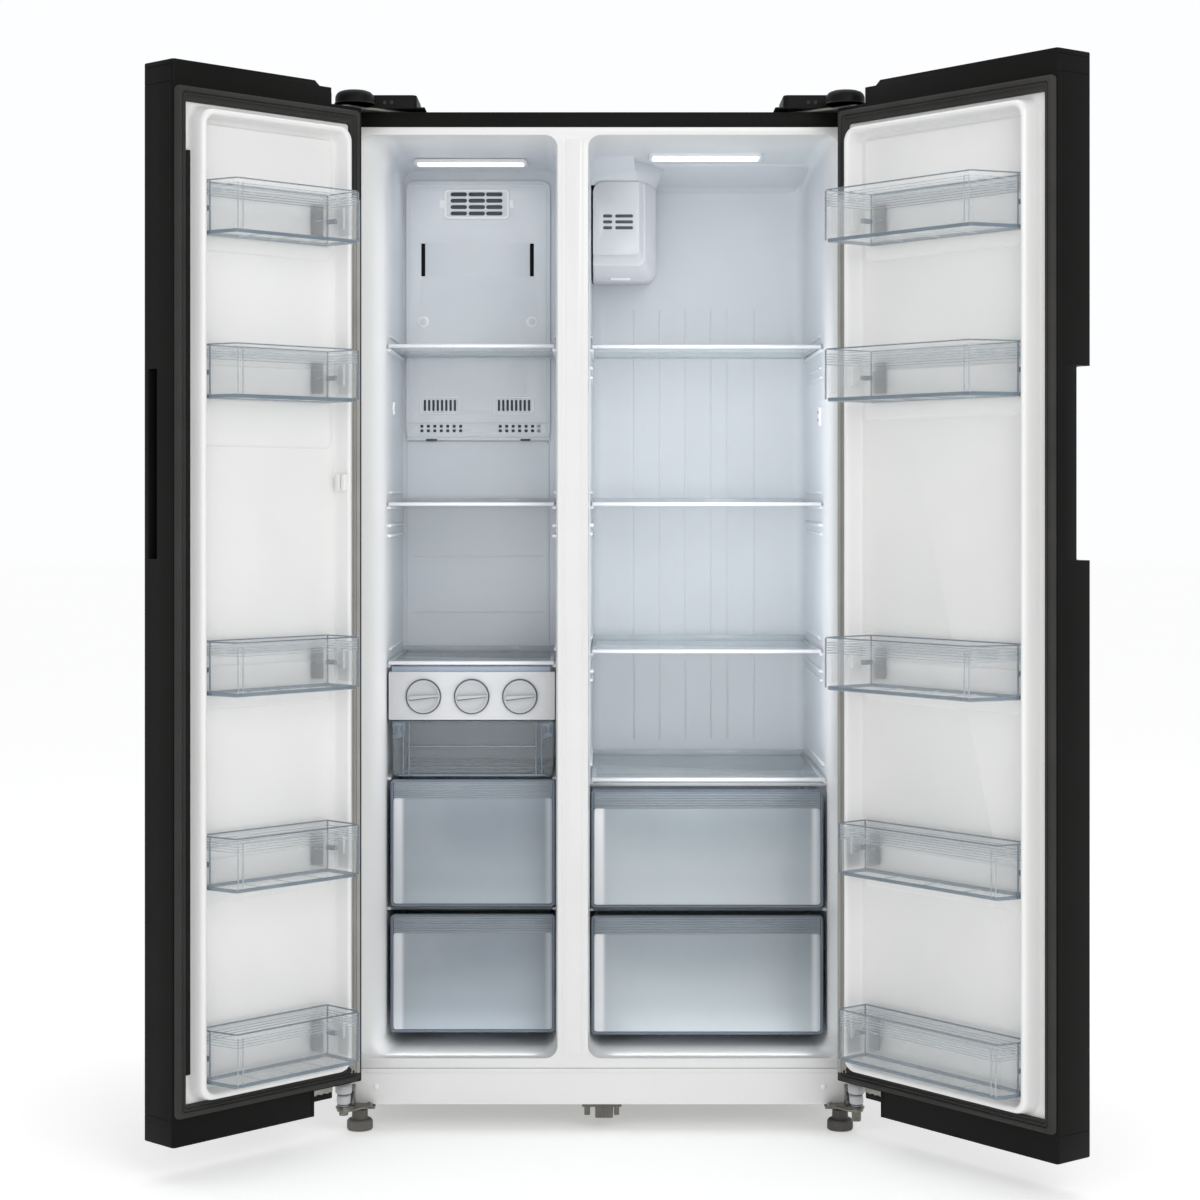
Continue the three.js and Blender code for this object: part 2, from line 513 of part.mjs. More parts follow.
function door(name, width, fridge) {
  const put = (part, body, paint) => add(`${name}_${part}`, place(body, fridge), paint);
  const liner = 31;
  const pins = [rod(PIN_R + 0.5, [90, 116], [0, 0]), rod(PIN_R + 1.5, [1718, 1760], [0, 0])];
  const shell = doorBlock(width, 0, DOOR_B[1]).subtract(grip(width, fridge, 0));
  const room = doorBlock(width, SHEET, DOOR_B[1] + 5).subtract(grip(width, fridge, SHEET));
  put('door_panel', cut(shell, [room, ...pins]), darkSteel);
  const fill = doorBlock(width, SHEET + GAP, liner - GAP).subtract(grip(width, fridge, SHEET + GAP));
  put('door_insulation', cut(fill, pins), foam);

  const free = width - 32 - (fridge ? 5 : 0);
  const ring = roundedRect([DIKE.a, free], DIKE.z, 24);
  const hole = roundedRect([DIKE.a + DIKE.wall, free - DIKE.wall], [DIKE.z[0] + 16, DIKE.z[1] - 24], 9);
  const sheet = doorBlock(width, SHEET + GAP, DOOR_B[1] - 0.2).intersect(box([-100, 600], [liner, 60], [0, 1800]));
  const dike = prism('y', ring, liner + 1, DIKE.crest);
  const recess = prism('y', hole, liner + 3, 90);
  const lugs = [box([DIKE.a + DIKE.wall - 1, DIKE.a + DIKE.wall + 7], [46, 56], [1097, 1125]),
    box([DIKE.a + DIKE.wall - 1, DIKE.a + DIKE.wall + 7], [60, 68], [1097, 1125]),
    box([free - DIKE.wall - 7, free - DIKE.wall + 1], [50, 62], [1097, 1122])];
  put('door_liner', join([sheet.add(dike).subtract(recess), ...lugs]), doorPlastic);

  const g = GASKET;
  const outerRing = roundedRect([2, width - 2], g.z, 8, 2);
  const innerRing = roundedRect([2 + g.wide, width - 2 - g.wide], [g.z[0] + g.wide, g.z[1] - g.wide - 4], 14, 3);
  const soft = prism('y', outerRing, g.back, g.front).subtract(prism('y', innerRing, g.back - 5, g.front + 5));
  put('door_gasket', soft, seal);
  BIN_Z.forEach((z, i) => add(`${name}_bin_${i + 1}`, place(bin(binOutline(fridge, i < 3), z), fridge), clear));
}

// ---------------------------------------------------------------- assembly
wrap();
frontFrame();
insulation();
liner('freezer_liner', FREEZER_X, FREEZER_IN, FREEZER_SHELVES, [100, 426], [595, 367]);
liner('fridge_liner', FRIDGE_X, FRIDGE_IN, FRIDGE_SHELVES, [168, 520], [365]);
basePan();
backPanel();
toePanel();
compressor();
evaporator();
evaporatorCover();
fan();
ductHousing();
lamps();
shelves();
iceMaker();
drawers();
for (const side of ['left', 'right']) hardware(side);
rollers();
centreSupport();
door('freezer', FREEZER_DOOR_W, false);
door('fridge', FRIDGE_DOOR_W, true);

// stand the object's bounding box centred on the origin
const bounds = new THREE.Box3().setFromObject(object);
const shift = [-(bounds.min.x + bounds.max.x) / 2, -(bounds.min.y + bounds.max.y) / 2, -bounds.min.z];
for (const mesh of object.children) mesh.geometry.translate(...shift);

export default object;
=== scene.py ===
import json
import math

import bmesh
import bpy
from mathutils import Matrix, Vector


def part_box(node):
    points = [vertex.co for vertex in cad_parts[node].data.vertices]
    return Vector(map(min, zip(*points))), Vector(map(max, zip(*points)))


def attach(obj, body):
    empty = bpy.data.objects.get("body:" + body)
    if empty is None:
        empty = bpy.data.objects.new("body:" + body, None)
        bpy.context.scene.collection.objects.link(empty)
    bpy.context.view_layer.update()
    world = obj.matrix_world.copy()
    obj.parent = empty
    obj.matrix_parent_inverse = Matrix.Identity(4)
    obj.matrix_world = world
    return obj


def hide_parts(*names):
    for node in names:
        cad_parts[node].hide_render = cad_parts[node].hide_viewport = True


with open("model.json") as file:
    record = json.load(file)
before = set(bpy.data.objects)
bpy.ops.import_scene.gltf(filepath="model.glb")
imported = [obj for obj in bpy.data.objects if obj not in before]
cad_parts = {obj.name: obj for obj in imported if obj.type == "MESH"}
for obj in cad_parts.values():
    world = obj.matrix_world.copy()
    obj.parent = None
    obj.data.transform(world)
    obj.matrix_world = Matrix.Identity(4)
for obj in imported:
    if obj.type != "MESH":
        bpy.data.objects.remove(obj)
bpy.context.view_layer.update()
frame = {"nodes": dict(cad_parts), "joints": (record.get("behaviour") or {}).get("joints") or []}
MM = 0.001

# Lengths below are in millimetres, from the cabinet's centre line, its front plane and the floor. Lights,
# the camera and the sizes in materials are in metres.

# ------------------------------------------------------------------ places taken from the frame
wrap_lo, wrap_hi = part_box("cabinet_wrap")
CX = (wrap_lo.x + wrap_hi.x) / 2          # cabinet's centre line, in metres
FY = wrap_lo.y                            # cabinet's front plane, in metres
HALF_W = (wrap_hi.x - wrap_lo.x) / 2 / MM
TOP_Z = wrap_hi.z / MM
BASE_Z = wrap_lo.z / MM
DEPTH = (wrap_hi.y - wrap_lo.y) / MM
JOINTS = {j["name"]: j for j in frame["joints"]}


def local(node):
    """A CAD node's box in millimetres from the cabinet's centre line, front plane and the floor."""
    lo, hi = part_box(node)
    return (((lo.x - CX) / MM, (hi.x - CX) / MM), ((lo.y - FY) / MM, (hi.y - FY) / MM),
            (lo.z / MM, hi.z / MM))


CABINET = Matrix.Translation((CX, FY, 0)) @ Matrix.Scale(MM, 4)


def door_matrix(joint, mirrored):
    """From a door's own frame to the world: a from the pin to the free end, b from the pin inwards, z up."""
    j = JOINTS[joint]
    turn = math.radians(-j["range_deg"][0])
    m = Matrix.Translation((j["pos_m"][0], j["pos_m"][1], 0))
    if mirrored:
        return m @ Matrix.Rotation(turn, 4, "Z") @ Matrix.Diagonal((-MM, MM, MM, 1))
    return m @ Matrix.Rotation(-turn, 4, "Z") @ Matrix.Scale(MM, 4)


FREEZER_DOOR = door_matrix("freezer_door_swing", False)
FRIDGE_DOOR = door_matrix("fridge_door_swing", True)


# ------------------------------------------------------------------ materials
def rgb(text):
    """A colour written as hex, in linear values."""
    values = [int(text[i:i + 2], 16) / 255 for i in (1, 3, 5)]
    return [v / 12.92 if v <= 0.04045 else ((v + 0.055) / 1.055) ** 2.4 for v in values]


def make_material(name, tint, rough, sizes, metal=0.0, rough_spread=0.08, alpha=None, rim=None, coat=0.0,
                  coat_rough=0.1, stretch=(1, 1, 1), emission=0.0, specks=None, spec=0.5, fade=None,
                  bands=None, mouth=None):
    """sizes: the fine grain's and the broad drift's size in metres, the drift's strength, the bump in mm."""
    grain, wide, tone, bump = sizes
    color = rgb(tint)
    m = bpy.data.materials.new(name)
    m.use_nodes = True
    nt = m.node_tree
    b = nt.nodes["Principled BSDF"]
    b.inputs["Metallic"].default_value = metal
    b.inputs["Coat Weight"].default_value = coat
    b.inputs["Coat Roughness"].default_value = coat_rough
    b.inputs["Specular IOR Level"].default_value = spec
    place = nt.nodes.new("ShaderNodeTexCoord")
    scale = nt.nodes.new("ShaderNodeMapping")
    scale.inputs["Scale"].default_value = stretch
    nt.links.new(place.outputs["Object"], scale.inputs["Vector"])

    def noise(size, detail, roughness=0.55):
        n = nt.nodes.new("ShaderNodeTexNoise")
        n.inputs["Scale"].default_value = 1 / size
        n.inputs["Detail"].default_value = detail
        n.inputs["Roughness"].default_value = roughness
        nt.links.new(scale.outputs["Vector"], n.inputs["Vector"])
        return n

    def blend(under, share, tint):
        mix = nt.nodes.new("ShaderNodeMix")
        mix.data_type = "RGBA"
        nt.links.new(share, mix.inputs["Factor"])
        nt.links.new(under, mix.inputs["A"])
        mix.inputs["B"].default_value = (*rgb(tint), 1)
        return mix.outputs["Result"]

    # broad drift of tone
    broad = noise(wide, 4)
    ramp = nt.nodes.new("ShaderNodeValToRGB")
    ramp.color_ramp.elements[0].position = 0.32
    ramp.color_ramp.elements[1].position = 0.7
    dark = [c * (1 - tone) for c in color]
    light = [min(1, c * (1 + tone * 0.6)) for c in color]
    ramp.color_ramp.elements[0].color = (*dark, 1)
    ramp.color_ramp.elements[1].color = (*light, 1)
    nt.links.new(broad.outputs["Fac"], ramp.inputs["Fac"])
    last = ramp.outputs["Color"]
    fine = noise(grain, 3)
    if specks:
        share, speck_color, size = specks
        dots = noise(size, 2, 0.7)
        cut = nt.nodes.new("ShaderNodeValToRGB")
        cut.color_ramp.elements[0].position = 0.66
        cut.color_ramp.elements[1].position = 0.74
        cut.color_ramp.elements[0].color = (0, 0, 0, 1)
        cut.color_ramp.elements[1].color = (share, share, share, 1)
        nt.links.new(dots.outputs["Fac"], cut.inputs["Fac"])
        last = blend(last, cut.outputs["Color"], speck_color)
    if fade:                                              # painted light: lighter towards the foot, where light comes through the tub, and painted highlight bands over the side walls
        box_place = nt.nodes.new("ShaderNodeSeparateXYZ")
        nt.links.new(place.outputs["Generated"], box_place.inputs["Vector"])
        for axis, stops, tint in (("Z", fade[0], fade[1]), ("X", bands[0], bands[1])):
            share = nt.nodes.new("ShaderNodeValToRGB")
            share.color_ramp.interpolation = "EASE"
            while len(share.color_ramp.elements) < len(stops):
                share.color_ramp.elements.new(0.5)
            for stop, (at, value) in zip(share.color_ramp.elements, stops):
                stop.position, stop.color = at, (value, value, value, 1)
            nt.links.new(box_place.outputs[axis], share.inputs["Fac"])
            last = blend(last, share.outputs["Color"], tint)
    if mouth:                                             # painted light: whiter where a wall turns out to the front, nearest the opening
        depth = nt.nodes.new("ShaderNodeSeparateXYZ")
        nt.links.new(place.outputs["Object"], depth.inputs["Vector"])
        near = nt.nodes.new("ShaderNodeMapRange")
        for key, value in (("From Min", FY + mouth[0]), ("From Max", FY + mouth[1]), ("To Min", 1.0),
                           ("To Max", 0.0)):
            near.inputs[key].default_value = value
        nt.links.new(depth.outputs["Y"], near.inputs["Value"])
        last = blend(last, near.outputs["Result"], mouth[2])
    nt.links.new(last, b.inputs["Base Color"])
    spread = nt.nodes.new("ShaderNodeMapRange")
    spread.inputs["To Min"].default_value = max(0.02, rough - rough_spread)
    spread.inputs["To Max"].default_value = min(1, rough + rough_spread)
    smear = noise(wide * 0.35, 5, 0.6)
    nt.links.new(smear.outputs["Fac"], spread.inputs["Value"])
    nt.links.new(spread.outputs["Result"], b.inputs["Roughness"])
    lift = nt.nodes.new("ShaderNodeBump")
    lift.inputs["Strength"].default_value = 0.6
    lift.inputs["Distance"].default_value = bump * MM
    nt.links.new(fine.outputs["Fac"], lift.inputs["Height"])
    nt.links.new(lift.outputs["Normal"], b.inputs["Normal"])
    if alpha is not None:
        if rim is None:
            b.inputs["Alpha"].default_value = alpha
        else:
            edge = nt.nodes.new("ShaderNodeLayerWeight")
            edge.inputs["Blend"].default_value = 0.42
            amount = nt.nodes.new("ShaderNodeMapRange")
            amount.inputs["To Min"].default_value = alpha
            amount.inputs["To Max"].default_value = rim
            nt.links.new(edge.outputs["Facing"], amount.inputs["Value"])
            nt.links.new(amount.outputs["Result"], b.inputs["Alpha"])
    if emission:
        b.inputs["Emission Color"].default_value = (1, 1, 1, 1)
        b.inputs["Emission Strength"].default_value = emission
    return m


# name: (tint, roughness, (grain, drift, drift strength, bump), what else)
FINISHES = {
    "dark_steel": ("#131312", 0.5, (0.0009, 0.25, 0.2, 0.05), dict(spec=0.09,
        specks=(0.2, "#2c2c2a", 0.0016))),
    "white_steel": ("#e6e6e5", 0.32, (0.0018, 0.3, 0.025, 0.02), dict(coat=0.35, coat_rough=0.12)),
    # liner_plastic's mouth is painted light: the walls whiter near the opening
    "liner_plastic": ("#dce0e5", 0.36, (0.0025, 0.22, 0.035, 0.03), dict(coat=0.15, coat_rough=0.25,
        mouth=(0.02, 0.21, "#eeeeed"))),
    "door_plastic": ("#e9e9e8", 0.36, (0.0022, 0.25, 0.03, 0.03), dict(coat=0.15, coat_rough=0.25)),
    "white_plastic": ("#f1f3f5", 0.3, (0.0014, 0.1, 0.025, 0.015), dict(coat=0.2)),
    "zinc_steel": ("#94958f", 0.36, (0.0014, 0.03, 0.2, 0.03), dict(metal=0.85, rough_spread=0.12,
        specks=(0.3, "#c9c9c2", 0.006))),
    "hinge_steel": ("#77766f", 0.34, (0.0012, 0.02, 0.3, 0.04), dict(metal=0.75, rough_spread=0.12,
        specks=(0.5, "#c9c7bd", 0.004))),
    "black_plastic": ("#101010", 0.5, (0.0008, 0.06, 0.2, 0.05), dict(spec=0.13)),
    "grey_plastic": ("#67635e", 0.6, (0.001, 0.04, 0.16, 0.06), dict(specks=(0.3, "#8a867f", 0.003))),
    "seal": ("#383736", 0.66, (0.0008, 0.08, 0.14, 0.04), dict(spec=0.14)),
    # seal_painted_light is the seal painted lighter for the gasket's hinge side: painted light
    "seal_painted_light": ("#a3a19d", 0.6, (0.0008, 0.08, 0.08, 0.04), dict(spec=0.3)),
    "seal_dark": ("#1a1a1a", 0.6, (0.0008, 0.08, 0.14, 0.04), dict(spec=0.12)),
    "clear_plastic": ("#f0f5f8", 0.08, (0.004, 0.08, 0.04, 0.01), dict(rough_spread=0.04, alpha=0.03,
        rim=0.24, coat=0.3, coat_rough=0.05)),
    "bucket_plastic": ("#d3dbe2", 0.1, (0.004, 0.08, 0.05, 0.01), dict(rough_spread=0.04, alpha=0.09,
        rim=0.42, coat=0.3, coat_rough=0.05)),
    "drawer_plastic": ("#a8b1ba", 0.16, (0.004, 0.1, 0.08, 0.02), dict(rough_spread=0.05, alpha=0.62,
        rim=0.95, coat=0.35, coat_rough=0.08)),
    "shelf_glass": ("#dbe7ea", 0.06, (0.01, 0.2, 0.03, 0.005), dict(rough_spread=0.02, alpha=0.09, rim=0.5,
        coat=0.5, coat_rough=0.03)),
    "foam": ("#e2d6a8", 0.95, (0.0012, 0.03, 0.12, 0.3), dict()),
    "aluminium_fins": ("#b9bcc0", 0.32, (0.0006, 0.02, 0.12, 0.03), dict(metal=0.9, stretch=(1, 1, 0.2))),
    "compressor_paint": ("#141414", 0.3, (0.002, 0.05, 0.3, 0.06), dict(metal=0.2, coat=0.5, coat_rough=0.15)),
    "lamp_lens": ("#ffffff", 0.25, (0.001, 0.05, 0.01, 0.02), dict(emission=1.4)),
    "ice_panel": ("#bdbec0", 0.34, (0.0014, 0.1, 0.02, 0.015), dict()),
    # the knobs' plastic is a darker copy of ice_panel, painted shade, as the knobs stand nearer the light
    "ice_knob_painted_shade": ("#a9abad", 0.34, (0.0014, 0.1, 0.02, 0.015), dict()),
    "duct_plastic": ("#d3d5da", 0.36, (0.0016, 0.08, 0.03, 0.02), dict(coat=0.1, coat_rough=0.25)),
    "slate": ("#4b515c", 0.5, (0.001, 0.05, 0.15, 0.03), dict()),
    # drawer_face carries painted light: lighter towards the foot and in highlight bands near both sides
    "drawer_face": ("#949da7", 0.2, (0.004, 0.12, 0.05, 0.02), dict(rough_spread=0.05, alpha=0.84, rim=0.96,
        coat=0.3, coat_rough=0.12,
        fade=([(0.0, 0.9), (0.25, 0.45), (0.75, 0.0)], "#b6c0c8"),
        bands=([(0.0, 0.0), (0.022, 0.8), (0.06, 0.8), (0.09, 0.0), (0.93, 0.0), (0.965, 0.5),
               (0.99, 0.0)], "#eceff4"))),
    # crisper_face carries the same painted light: lighter towards the foot and in highlight bands near both
    # sides
    "crisper_face": ("#a4aeb5", 0.2, (0.004, 0.12, 0.05, 0.02), dict(rough_spread=0.05, alpha=0.84, rim=0.96,
        coat=0.3, coat_rough=0.12,
        fade=([(0.0, 0.9), (0.3, 0.6), (0.8, 0.0)], "#ccd5da"),
        bands=([(0.0, 0.0), (0.018, 0.9), (0.045, 0.9), (0.065, 0.0), (0.94, 0.0), (0.965, 0.6),
               (0.99, 0.0)], "#fbfcfe"))),
    "bin_edge": ("#7c8c99", 0.12, (0.004, 0.06, 0.1, 0.02), dict(rough_spread=0.04, alpha=0.6, rim=0.92,
        coat=0.4, coat_rough=0.05)),
    "drawer_edge": ("#66717e", 0.2, (0.004, 0.08, 0.1, 0.02), dict(rough_spread=0.05, alpha=0.86, rim=0.98,
        coat=0.35, coat_rough=0.08)),
    "bin_edge_faint": ("#c9d2d9", 0.14, (0.004, 0.06, 0.06, 0.02), dict(rough_spread=0.04, alpha=0.42,
        rim=0.8, coat=0.4, coat_rough=0.05)),
    "drawer_edge_light": ("#98a2ac", 0.18, (0.004, 0.08, 0.1, 0.02), dict(rough_spread=0.05, alpha=0.8,
        rim=0.96, coat=0.35, coat_rough=0.08)),
    # grey_plastic_painted_shade is a darker copy of grey_plastic for the right foot: painted shade
    "grey_plastic_painted_shade": ("#4c4a48", 0.6, (0.001, 0.04, 0.18, 0.06), dict(specks=(0.3, "#77746f", 0.003))),
    "copper": ("#b0714a", 0.3, (0.001, 0.02, 0.2, 0.02), dict(metal=0.95, specks=(0.4, "#6e4a35", 0.004))),
    "floor": ("#f7f7f6", 0.8, (0.002, 0.8, 0.008, 0.01), dict(spec=0.2, emission=0.34)),
    "blue_strip": ("#8d98a6", 0.35, (0.0014, 0.1, 0.05, 0.02), dict()),
}
MAT = {name: make_material(name, *look, **more) for name, (*look, more) in FINISHES.items()}


# ------------------------------------------------------------------ mesh helpers
def rrect(u, v, r, n=8):
    """A rectangle with four equal round corners, anticlockwise."""
    points = []
    for cu, cv, q in ((u[1] - r, v[1] - r, 0), (u[0] + r, v[1] - r, 1), (u[0] + r, v[0] + r, 2),
                      (u[1] - r, v[0] + r, 3)):
        for i in range(n + 1):
            t = (q + i / n) * math.pi / 2
            points.append((cu + r * math.cos(t), cv + r * math.sin(t)))
    return points


PUT = {"x": lambda u, v, w: (w, u, v), "y": lambda u, v, w: (u, w, v), "z": lambda u, v, w: (u, v, w)}


def rounded(points, radii, n=6):
    """A polygon with each corner turned into an arc of n + 1 points."""
    out = []
    count = len(points)
    for i, p in enumerate(points):
        r = radii[i] if isinstance(radii, (list, tuple)) else radii
        p = Vector(p)
        a = (Vector(points[i - 1]) - p)
        c = (Vector(points[(i + 1) % count]) - p)
        la, lc = a.length, c.length
        a.normalize()
        c.normalize()
        half = math.acos(max(-1, min(1, a.dot(c)))) / 2
        if r <= 0 or half > math.pi / 2 - 0.01:
            out.extend([tuple(p)] * (n + 1))
            continue
        run = min(r / math.tan(half), la * 0.49, lc * 0.49)
        r = run * math.tan(half)
        centre = p + (a + c).normalized() * (r / math.sin(half))
        start, end = p + a * run - centre, p + c * run - centre
        sweep = start.angle_signed(end)
        for k in range(n + 1):
            t = -sweep * k / n
            out.append((centre.x + start.x * math.cos(t) - start.y * math.sin(t),
                        centre.y + start.x * math.sin(t) + start.y * math.cos(t)))
    return out


def quad(u, v, radii, n):
    """An upright rectangle with rounded corners; its radii may differ, from the low left one round."""
    return rounded([(u[0], v[0]), (u[1], v[0]), (u[1], v[1]), (u[0], v[1])], radii, n)


def offset(points, d):
    """The polygon moved outwards by d; its points run anticlockwise."""
    out = []
    count = len(points)
    for i in range(count):
        p = Vector(points[i])
        k = 1
        while (Vector(points[i - k]) - p).length < 1e-6 and k < count:
            k += 1
        a = (p - Vector(points[i - k])).normalized()
        k = 1
        while (Vector(points[(i + k) % count]) - p).length < 1e-6 and k < count:
            k += 1
        c = (Vector(points[(i + k) % count]) - p).normalized()
        na, nc = Vector((a.y, -a.x)), Vector((c.y, -c.x))
        m = (na + nc)
        if m.length < 1e-6:
            m = na
        m.normalize()
        s = d / max(0.35, m.dot(na))
        out.append((p.x + m.x * s, p.y + m.y * s))
    return out


def hand_over(mesh, name, body, replaces, smooth, weld):
    """Welds a mesh, turns its faces outwards, shades it, gives it to its body and hides the parts it replaces.
    """
    bm = bmesh.new()
    bm.from_mesh(mesh)
    bmesh.ops.remove_doubles(bm, verts=bm.verts, dist=weld)
    bmesh.ops.recalc_face_normals(bm, faces=bm.faces)
    bm.to_mesh(mesh)
    bm.free()
    mesh.shade_smooth()
    mesh.set_sharp_from_angle(angle=math.radians(smooth))
    obj = bpy.data.objects.new(name, mesh)
    bpy.context.scene.collection.objects.link(obj)
    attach(obj, body)
    if replaces:
        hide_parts(*replaces)


class Build:
    """Collects closed shells and skins in one mesh, each with a material."""

    def __init__(self, matrix=CABINET):
        self.verts, self.faces, self.mats, self.index = [], [], [], []
        self.matrix = matrix

    def mat(self, name):
        if name not in self.mats:
            self.mats.append(name)
        return self.mats.index(name)

    def add(self, verts, faces, mat):
        k = len(self.verts)
        self.verts += [tuple(v) for v in verts]
        self.faces += [[k + i for i in f] for f in faces]
        self.index += [self.mat(mat)] * len(faces)

    def rings(self, rings, mat, start=True, end=True, closed=True, loop=False):
        n = len(rings[0])
        verts = [p for r in rings for p in r]
        faces = []
        count = len(rings)
        for k in range(count if loop else count - 1):
            a0, b0 = k * n, ((k + 1) % count) * n
            for i in range(n if closed else n - 1):
                j = (i + 1) % n
                faces.append([a0 + i, a0 + j, b0 + j, b0 + i])
        if not loop:
            if start:
                faces.append(list(range(n))[::-1])
            if end:
                faces.append([(count - 1) * n + i for i in range(n)])
        self.add(verts, faces, mat)

    def prism(self, axis, outline, lo, hi, mat, bevel=0.0, steps=2):
        """An outline pushed along an axis, with both its rims rounded over."""
        area = sum(a[0] * b[1] - b[0] * a[1] for a, b in zip(outline[-1:] + outline, outline))
        if area < 0:
            outline = outline[::-1]
        if bevel:
            levels = [(lo + bevel * (1 - math.cos(math.pi / 2 * k / steps)),
                       bevel * (1 - math.sin(math.pi / 2 * k / steps))) for k in range(steps + 1)]
            levels += [(hi - (w - lo), i) for w, i in levels[::-1]]
        else:
            levels = [(lo, 0), (hi, 0)]
        self.rings([[PUT[axis](u, v, w) for u, v in (offset(outline, -i) if i else outline)]
                    for w, i in levels], mat)

    def box(self, x, y, z, mat, bevel=0.6):
        r = min(bevel, (x[1] - x[0]) * 0.4, (y[1] - y[0]) * 0.4, (z[1] - z[0]) * 0.4)
        self.prism("z", rrect(x, y, r, 2), z[0], z[1], mat, bevel=r)

    def turned(self, axis, profile, at, mat, n=32):
        """A round body about a line through at, from (radius, along) pairs that start and end on the line."""
        cu, cv = (c for c, name in zip(at, "xyz") if name != axis)
        turns = [2 * math.pi * i / n for i in range(n)]
        rings = []
        for r, w in profile:
            if r <= 0:
                r = 1e-3
            rings.append([PUT[axis](cu + r * math.cos(t), cv + r * math.sin(t), w) for t in turns])
        self.rings(rings, mat)

    def rod(self, axis, r, along, at, mat, n=32):
        """A plain cylinder."""
        self.turned(axis, [(0, along[0]), (r, along[0]), (r, along[1]), (0, along[1])], at, mat, n)

    def sweep(self, axis, path_at, profile, mat):
        """A closed profile of (outward, along) points run round path_at(d), a closed path moved out by d."""
        self.rings([[PUT[axis](u, v, w) for u, v in path_at(d)] for d, w in profile], mat, loop=True)

    def tube(self, points, r, mat, n=10):
        rings = []
        for i, p in enumerate(points):
            p = Vector(p)
            d = (Vector(points[min(i + 1, len(points) - 1)]) - Vector(points[max(i - 1, 0)])).normalized()
            side = d.cross(Vector((0, 0, 1)) if abs(d.z) < 0.9 else Vector((1, 0, 0))).normalized()
            up = side.cross(d)
            turns = [2 * math.pi * k / n for k in range(n)]
            rings.append([p + side * r * math.cos(t) + up * r * math.sin(t) for t in turns])
        self.rings(rings, mat)

    def done(self, name, body, replaces=(), smooth=38):
        mesh = bpy.data.meshes.new(name)
        mesh.from_pydata([self.matrix @ Vector(v) for v in self.verts], [], self.faces)
        for m in self.mats:
            mesh.materials.append(MAT[m])
        mesh.polygons.foreach_set("material_index", self.index)
        mesh.update()
        hand_over(mesh, name, body, replaces, smooth, 1e-6)


def vessel(b, outline, levels, wall, mat):
    """An open-topped tub. Its levels are (z, outward) pairs from the rim down, and the inside follows them."""
    outer = [[(u, v, z) for u, v in offset(outline, d)] for z, d in levels]
    floor_z = levels[-1][0]
    inner = [[(u, v, max(z, floor_z + wall)) for u, v in offset(outline, d - wall)]
             for z, d in levels[::-1]]
    rings = inner + outer
    n = len(outline)
    verts = [p for r in rings for p in r]
    faces = []
    for k in range(len(rings) - 1):
        for i in range(n):
            j = (i + 1) % n
            faces.append([k * n + i, k * n + j, (k + 1) * n + j, (k + 1) * n + i])
    faces.append(list(range(n)))
    faces.append([(len(rings) - 1) * n + i for i in range(n)][::-1])
    b.add(verts, faces, mat)


def slot_outline(x, z, r, n=5):
    """A rectangle whose ends may be fully round."""
    return rrect(x, z, min(r, (x[1] - x[0]) / 2 - 0.01, (z[1] - z[0]) / 2 - 0.01), n)


def plate_with_holes(name, outline, holes, lo, hi, body, mat, axis="y", bevel=0.5, matrix=CABINET,
                     replaces=()):
    """A flat plate with an outline and holes, cut as one filled curve, its rims rounded."""
    curve = bpy.data.curves.new(name, "CURVE")
    curve.dimensions = "2D"
    curve.fill_mode = "BOTH"
    curve.extrude = (hi - lo) / 2 - bevel
    curve.bevel_depth = bevel
    curve.bevel_resolution = 1
    curve.offset = -bevel
    for points in [outline] + list(holes):
        s = curve.splines.new("POLY")
        s.points.add(len(points) - 1)
        for p, (u, v) in zip(s.points, points):
            p.co = (u, v, 0, 1)
        s.use_cyclic_u = True
    holder = bpy.data.objects.new(name + "_curve", curve)
    bpy.context.scene.collection.objects.link(holder)
    bpy.context.view_layer.update()
    mesh = bpy.data.meshes.new_from_object(holder.evaluated_get(bpy.context.evaluated_depsgraph_get()))
    bpy.data.objects.remove(holder)
    bpy.data.curves.remove(curve)
    mid = (lo + hi) / 2
    turn = {"y": Matrix(((1, 0, 0, 0), (0, 0, -1, mid), (0, 1, 0, 0), (0, 0, 0, 1))),
            "z": Matrix(((1, 0, 0, 0), (0, 1, 0, 0), (0, 0, 1, mid), (0, 0, 0, 1)))}[axis]
    mesh.transform(matrix @ turn)
    mesh.materials.clear()
    mesh.materials.append(MAT[mat])
    mesh.name = name
    hand_over(mesh, name, body, replaces, 40, 2e-6)


# ------------------------------------------------------------------ the cabinet
FRONT_X, _, FRONT_Z = local("front_frame")
OPEN_R = 22                               # corner radius of the two openings
OPEN_Z = (124.0, 1708.6)
FREEZER_X = (-411.6, -72.9)               # the openings from side to side
FRIDGE_X = (-20.6, 409.9)
FREEZER_IN = (-374.0, -77.0)              # the liners' walls behind their splayed mouths
FRIDGE_IN = (-18.0, 398.0)
SPLAY_Y, BACK_Y = 82.0, 545.0             # where the splay ends, and the back wall
STEP_Y, STEP_Z = 385.0, 345.0             # step over the machine space
STRIP_X = (-62.9, -28.5)                  # pressed edges of the centre strip


def front_frame():
    outline = rrect(FRONT_X, FRONT_Z, 2, 2)
    holes = [rrect(x, OPEN_Z, OPEN_R, 12) for x in (FREEZER_X, FRIDGE_X)]
    plate_with_holes("front_frame_look", outline, holes, 0.05, 2.0, "cabinet", "white_steel",
                     bevel=0.4, replaces=["front_frame"])
    b = Build()
    mid = (OPEN_Z[0] + 6, OPEN_Z[1] - 6)
    for x in STRIP_X:
        b.prism("y", rrect((x - 1.6, x + 1.6), mid, 1.5, 3), -0.35, 0.1, "white_steel", bevel=0.15)
    b.prism("y", rrect((STRIP_X[0] + 3, STRIP_X[1] - 3), (mid[0] + 2, mid[1] - 2), 3, 4), -0.25, 0.1,
            "white_steel", bevel=0.2)
    b.done("centre_strip", "cabinet")


